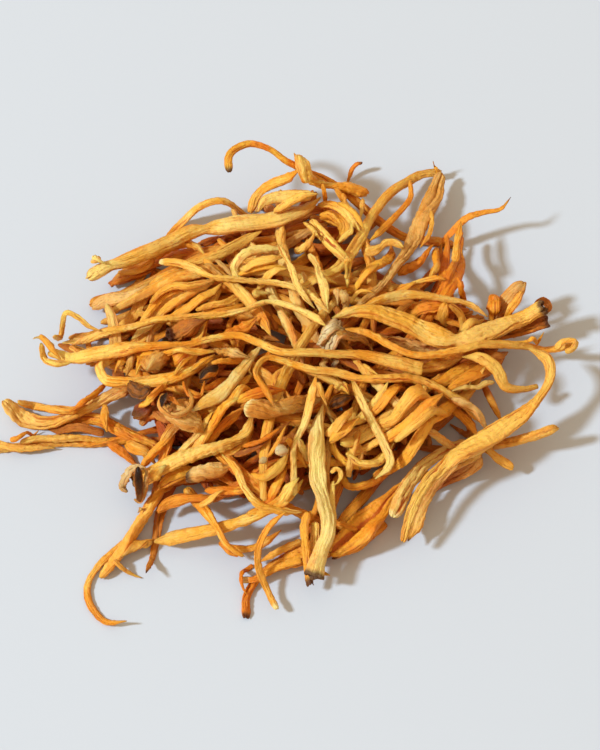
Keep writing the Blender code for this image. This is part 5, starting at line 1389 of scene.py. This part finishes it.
class Wiring:
    """Shader nodes, wired up as sums."""

    def __init__(self, tree):
        self.nodes, self.links = tree.nodes, tree.links

    def feed(self, inlet, term):
        """Sets an input to a number, to a colour or to what another node gives."""
        if isinstance(term, bpy.types.NodeSocket):
            self.links.new(term, inlet)
        elif inlet.type == "RGBA":
            inlet.default_value = (*term, 1.0)
        else:
            inlet.default_value = term

    def value(self, name):
        """A value that the mesh carries."""
        node = self.nodes.new("ShaderNodeAttribute")
        node.attribute_name = name
        return node.outputs["Fac"]

    def maths(self, operation, first, second, clamp=False):
        node = self.nodes.new("ShaderNodeMath")
        node.operation = operation
        node.use_clamp = clamp
        self.feed(node.inputs[0], first)
        self.feed(node.inputs[1], second)
        return node.outputs[0]

    def times(self, first, second):
        return self.maths("MULTIPLY", first, second)

    def blend(self, *terms):
        """The sum of values, each times its weight."""
        total = self.times(*terms[0])
        for term in terms[1:]:
            total = self.maths("ADD", total, self.times(*term))
        return total

    def mixed(self, share, first, second):
        """One colour over another, by a share."""
        node = self.nodes.new("ShaderNodeMix")
        node.data_type = "RGBA"
        for place, term in ((0, share), (6, first), (7, second)):
            self.feed(node.inputs[place], term)
        return node.outputs[2]

    def eased(self, term, low, high):
        """A value eased from 0 at low to 1 at high."""
        node = self.nodes.new("ShaderNodeMapRange")
        node.interpolation_type = "SMOOTHSTEP"
        for name, given in (("Value", term), ("From Min", low), ("From Max", high)):
            self.feed(node.inputs[name], given)
        return node.outputs["Result"]

    def noise(self, where, scale, detail=3.0, rough=0.55):
        node = self.nodes.new("ShaderNodeTexNoise")
        for name, given in (("Vector", where), ("Scale", scale), ("Detail", detail), ("Roughness", rough)):
            self.feed(node.inputs[name], given)
        return node.outputs["Fac"]

    def stem_noise(self, round_scale, long_scale, detail=3.0, rough=0.55):
        """Noise that is stretched round and along the stem, and different on every stem."""
        node = self.nodes.new("ShaderNodeCombineXYZ")
        for inlet, (name, scale) in zip(node.inputs, (("around", round_scale), ("along", long_scale),
                                                      ("shade", 37.0))):
            self.feed(inlet, self.times(self.value(name), scale))
        return self.noise(node.outputs[0], 1.0, detail, rough)


def dried_skin_group():
    """Dried skin: pale ridges, darker furrows (partly painted shade), long fibres, cross wrinkles, blotches
    and specks, with painted shade deep in the heap and painted glow at thin edges.
    """
    group = bpy.data.node_groups.new("dried_skin", "ShaderNodeTree")
    for name, way, kind in (
            ("Ridge", "INPUT", "Color"), ("Skin", "INPUT", "Color"), ("Furrow", "INPUT", "Color"),
            ("Roughness", "INPUT", "Float"), ("Colour", "OUTPUT", "Color"),
            ("Skin roughness", "OUTPUT", "Float"), ("Height", "OUTPUT", "Float")):
        group.interface.new_socket(name, in_out=way, socket_type=f"NodeSocket{kind}")
    wiring = Wiring(group)
    given, out = group.nodes.new("NodeGroupInput"), group.nodes.new("NodeGroupOutput")
    ridge, skin, furrow, rough = (given.outputs[name] for name in ("Ridge", "Skin", "Furrow", "Roughness"))
    place = group.nodes.new("ShaderNodeTexCoord").outputs["Object"]
    across_and_up = group.nodes.new("ShaderNodeSeparateXYZ")
    wiring.feed(across_and_up.inputs[0], place)
    times, eased, value = wiring.times, wiring.eased, wiring.value

    fibres = wiring.stem_noise(3.0, 0.22, 5.0, 0.66)
    wrinkles = wiring.stem_noise(1.7, 0.8, 4.0, 0.6)
    cords = wiring.stem_noise(1.3, 0.12, 2.0, 0.5)
    tinge = wiring.stem_noise(0.5, 0.09)
    blotches = wiring.noise(place, 150.0)
    patches = wiring.noise(place, 42.0, 2.0)
    specks = wiring.noise(place, 1500.0, 2.0)
    lift = wiring.blend((blotches, 0.7), (fibres, 0.5))
    sunk = wiring.blend((value("furrow"), 1.0), (fibres, 0.55))
    # painted shade: amber on skin near the table and towards the right, away from the light
    painted_low_shade = wiring.maths("SUBTRACT", 1.0, eased(across_and_up.outputs[2], *PAINTED_SHADE_HEIGHTS))
    painted_right_shade = eased(across_and_up.outputs[0], *PAINTED_SHADE_ACROSS)
    tinge_and_painted_shade = wiring.maths("MAXIMUM", times(eased(tinge, 0.50, 0.66), 0.55), times(painted_low_shade, 0.36))
    tinge_and_painted_shade = wiring.maths("MAXIMUM", tinge_and_painted_shade, times(painted_right_shade, 0.26))
    uneven = times(wiring.maths("SUBTRACT", blotches, 0.5), 0.9)
    pale = wiring.maths("ADD", value("pale_end"), uneven)
    dark = wiring.maths("ADD", value("dark_end"), uneven)

    body = skin
    for share, colour in (
            (eased(patches, 0.42, 0.60), ridge),  # broad pale patches
            (eased(lift, 0.58, 0.70), ridge),  # pale blotches and fibres
            (times(value("edge"), 0.60), AMBER),  # painted light: thin edges tinted amber as if light shone through them
            (times(eased(sunk, 0.55, 1.05), 0.92), furrow),  # furrows and the valleys between flutes, darker: partly the skin's own colour, partly painted shade
            # a random amber tinge, with the amber painted shade low down and to the right
            (tinge_and_painted_shade, AMBER),
            (times(value("deep"), 0.68), PAINTED_SHADE_UMBER),  # painted shade: umber on skin below the heap's upper side, on side stems and on stems deep in the heap
            (times(eased(value("shade"), 0.35, 1.0), 0.40), skin),  # some stems are darker all over
            (times(eased(wrinkles, 0.56, 0.70), 0.40), furrow),  # cross wrinkles
            (times(eased(specks, 0.66, 0.74), 0.30), DUST),
            (times(eased(pale, 0.25, 0.8), 0.85), CREAM),  # pale ends
            (times(eased(dark, 0.35, 0.9), 0.9), CHAR),  # dark ends
            (times(value("hollow"), 0.9), MOUTH_PAINTED_SHADE)):  # painted shade inside a mouth
        body = wiring.mixed(share, body, colour)
    wiring.feed(out.inputs["Colour"], body)
    drier = times(wiring.maths("SUBTRACT", fibres, 0.5), 0.35)
    wiring.feed(out.inputs["Skin roughness"], wiring.maths("ADD", rough, drier, clamp=True))
    height = wiring.blend((fibres, 0.8), (wrinkles, 0.6), (specks, 0.15), (cords, 1.2))
    wiring.feed(out.inputs["Height"], height)
    return group


def new_material(name):
    material = bpy.data.materials.new(name)
    material.use_nodes = True
    return material, Wiring(material.node_tree), material.node_tree.nodes["Principled BSDF"]


def skin_material(tone, finish, group):
    material, wiring, shader = new_material(f"dried_skin_{tone}")
    skin = wiring.nodes.new("ShaderNodeGroup")
    skin.node_tree = group
    bump = wiring.nodes.new("ShaderNodeBump")
    looks = {"Ridge": finish.ridge, "Skin": finish.skin, "Furrow": finish.furrow, "Roughness": finish.rough}
    bumps = {**BUMP, "Height": skin.outputs["Height"]}
    lit = {**SKIN_LIGHT, "Base Color": skin.outputs["Colour"], "Roughness": skin.outputs["Skin roughness"],
           "Normal": bump.outputs["Normal"]}
    for node, settings in ((skin, looks), (bump, bumps), (shader, lit)):
        for name, term in settings.items():
            wiring.feed(node.inputs[name], term)
    return material


def floor_material():
    material, wiring, shader = new_material("pale_table")
    place = wiring.nodes.new("ShaderNodeTexCoord").outputs["Object"]
    tint = wiring.mixed(wiring.noise(place, 6.0), *TABLE_TINTS)
    for name, term in (("Base Color", tint), ("Roughness", 0.85), ("Specular IOR Level", 0.2)):
        wiring.feed(shader.inputs[name], term)
    return material


def frame_shift(stems):
    """How far the frame's origin lies from the photo's middle on the table, in mm."""
    gaps = []
    for laid, sides in stems:
        if sides:
            continue
        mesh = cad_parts[laid.stem.name].data
        corners = np.empty(len(mesh.vertices) * 3)
        mesh.vertices.foreach_get("co", corners)
        corners = np.unique(np.round(corners.reshape(-1, 3) / MM, 3), axis=0)
        gaps.append(laid.centres[:, :2].mean(axis=0) - corners[:, :2].mean(axis=0))
    return np.array([*np.median(np.array(gaps), axis=0), 0.0])


def make_floor():
    bpy.ops.mesh.primitive_plane_add(size=6.0)
    floor = bpy.context.object
    floor.name = "table_top"
    floor.data.materials.append(floor_material())


def aim(thing, target):
    """Points a light or the camera at a place."""
    thing.rotation_euler = (Vector(target) - thing.location).to_track_quat("-Z", "Y").to_euler()


SUN_UP = math.radians(41.0)  # how high the light stands
SUN_TURN = math.radians(191.5)  # and where, from the right by way of the back
SUN_AWAY = 4.0  # metres


def make_lights():
    data = bpy.data.lights.new("key_from_left", "AREA")
    data.size = 0.42
    data.energy = 175.0
    data.color = (0.76, 1.0, 1.29)
    light = bpy.data.objects.new("key_from_left", data)
    flat = SUN_AWAY * math.cos(SUN_UP)
    light.location = (flat * math.cos(SUN_TURN), flat * math.sin(SUN_TURN), SUN_AWAY * math.sin(SUN_UP))
    bpy.context.scene.collection.objects.link(light)
    aim(light, (0, 0, 0))
    world = bpy.data.worlds.new("soft_studio")
    world.use_nodes = True
    back = world.node_tree.nodes["Background"]
    back.inputs["Color"].default_value = (0.62, 0.54, 0.43, 1)
    back.inputs["Strength"].default_value = 1.18
    bpy.context.scene.world = world


def make_camera(shift):
    data = bpy.data.cameras.new("photo_view")
    data.sensor_fit = "HORIZONTAL"
    data.sensor_width = 36.0
    data.lens = data.sensor_width * EYE_AWAY / (PHOTO_WIDE * PIXEL_MM)
    data.clip_start = 0.01
    camera = bpy.data.objects.new("photo_view", data)
    camera.location = ((EYE - shift) * MM).tolist()
    bpy.context.scene.collection.objects.link(camera)
    aim(camera, (-shift * MM).tolist())
    bpy.context.scene.camera = camera


def dress(stems, skins, cover, shift):
    """Each stem of the frame, with its side stems, as one piece in the place of its solid."""
    for order, (laid, sides) in enumerate(stems):
        rng = np.random.default_rng(STEM_SKIN_DRAWS + order)
        shapes = [ribbon(part, rng, FINE_STEP, FINE_SIDES, STEMS_APART * order, cover, deep)
                  for part, deep in [(laid, 0.0)] + [(side, FORK_PAINTED_SHADE) for side in sides]]
        piece = make_piece(f"dried_{laid.stem.name}", shapes, skins[laid.stem.tone], shift)
        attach(piece, "root")
        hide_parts(laid.stem.name)


def fill(name, stems, look, skins, cover, shift):
    """Smaller stems, as one piece of each tone."""
    # deep is the painted shade, in umber, that the whole piece gets
    step, sides, deep, draws = look
    for tone, finish in FINISHES.items():
        shapes = []
        for order, laid in enumerate(stems):
            if laid.stem.tone == tone:
                rng = np.random.default_rng(draws + order)
                shapes.append(ribbon(laid, rng, step, sides, SMALL_APART * order, cover, deep))
        if shapes:
            piece = make_piece(f"{name}_{tone}_stems", shapes, skins[tone], shift)
            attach(piece, "root")


def main():
    bpy.context.scene.view_settings.view_transform = "Standard"
    group = dried_skin_group()
    skins = {tone: skin_material(tone, finish, group) for tone, finish in FINISHES.items()}
    stems, twigs, under = lay_everything()
    shift = frame_shift(stems)
    cover = upper_side(stems, twigs)
    dress(stems, skins, cover, shift)
    fill("small", twigs, (TWIG_STEP, TWIG_SIDES, 0.0, SMALL_SKIN_DRAWS), skins, cover, shift)
    fill("under", under, (UNDER_STEP, UNDER_SIDES, UNDER_PAINTED_SHADE, UNDER_SKIN_DRAWS), skins, cover, shift)
    make_floor()
    make_lights()
    make_camera(shift)


main()
bpy.context.view_layer.update()
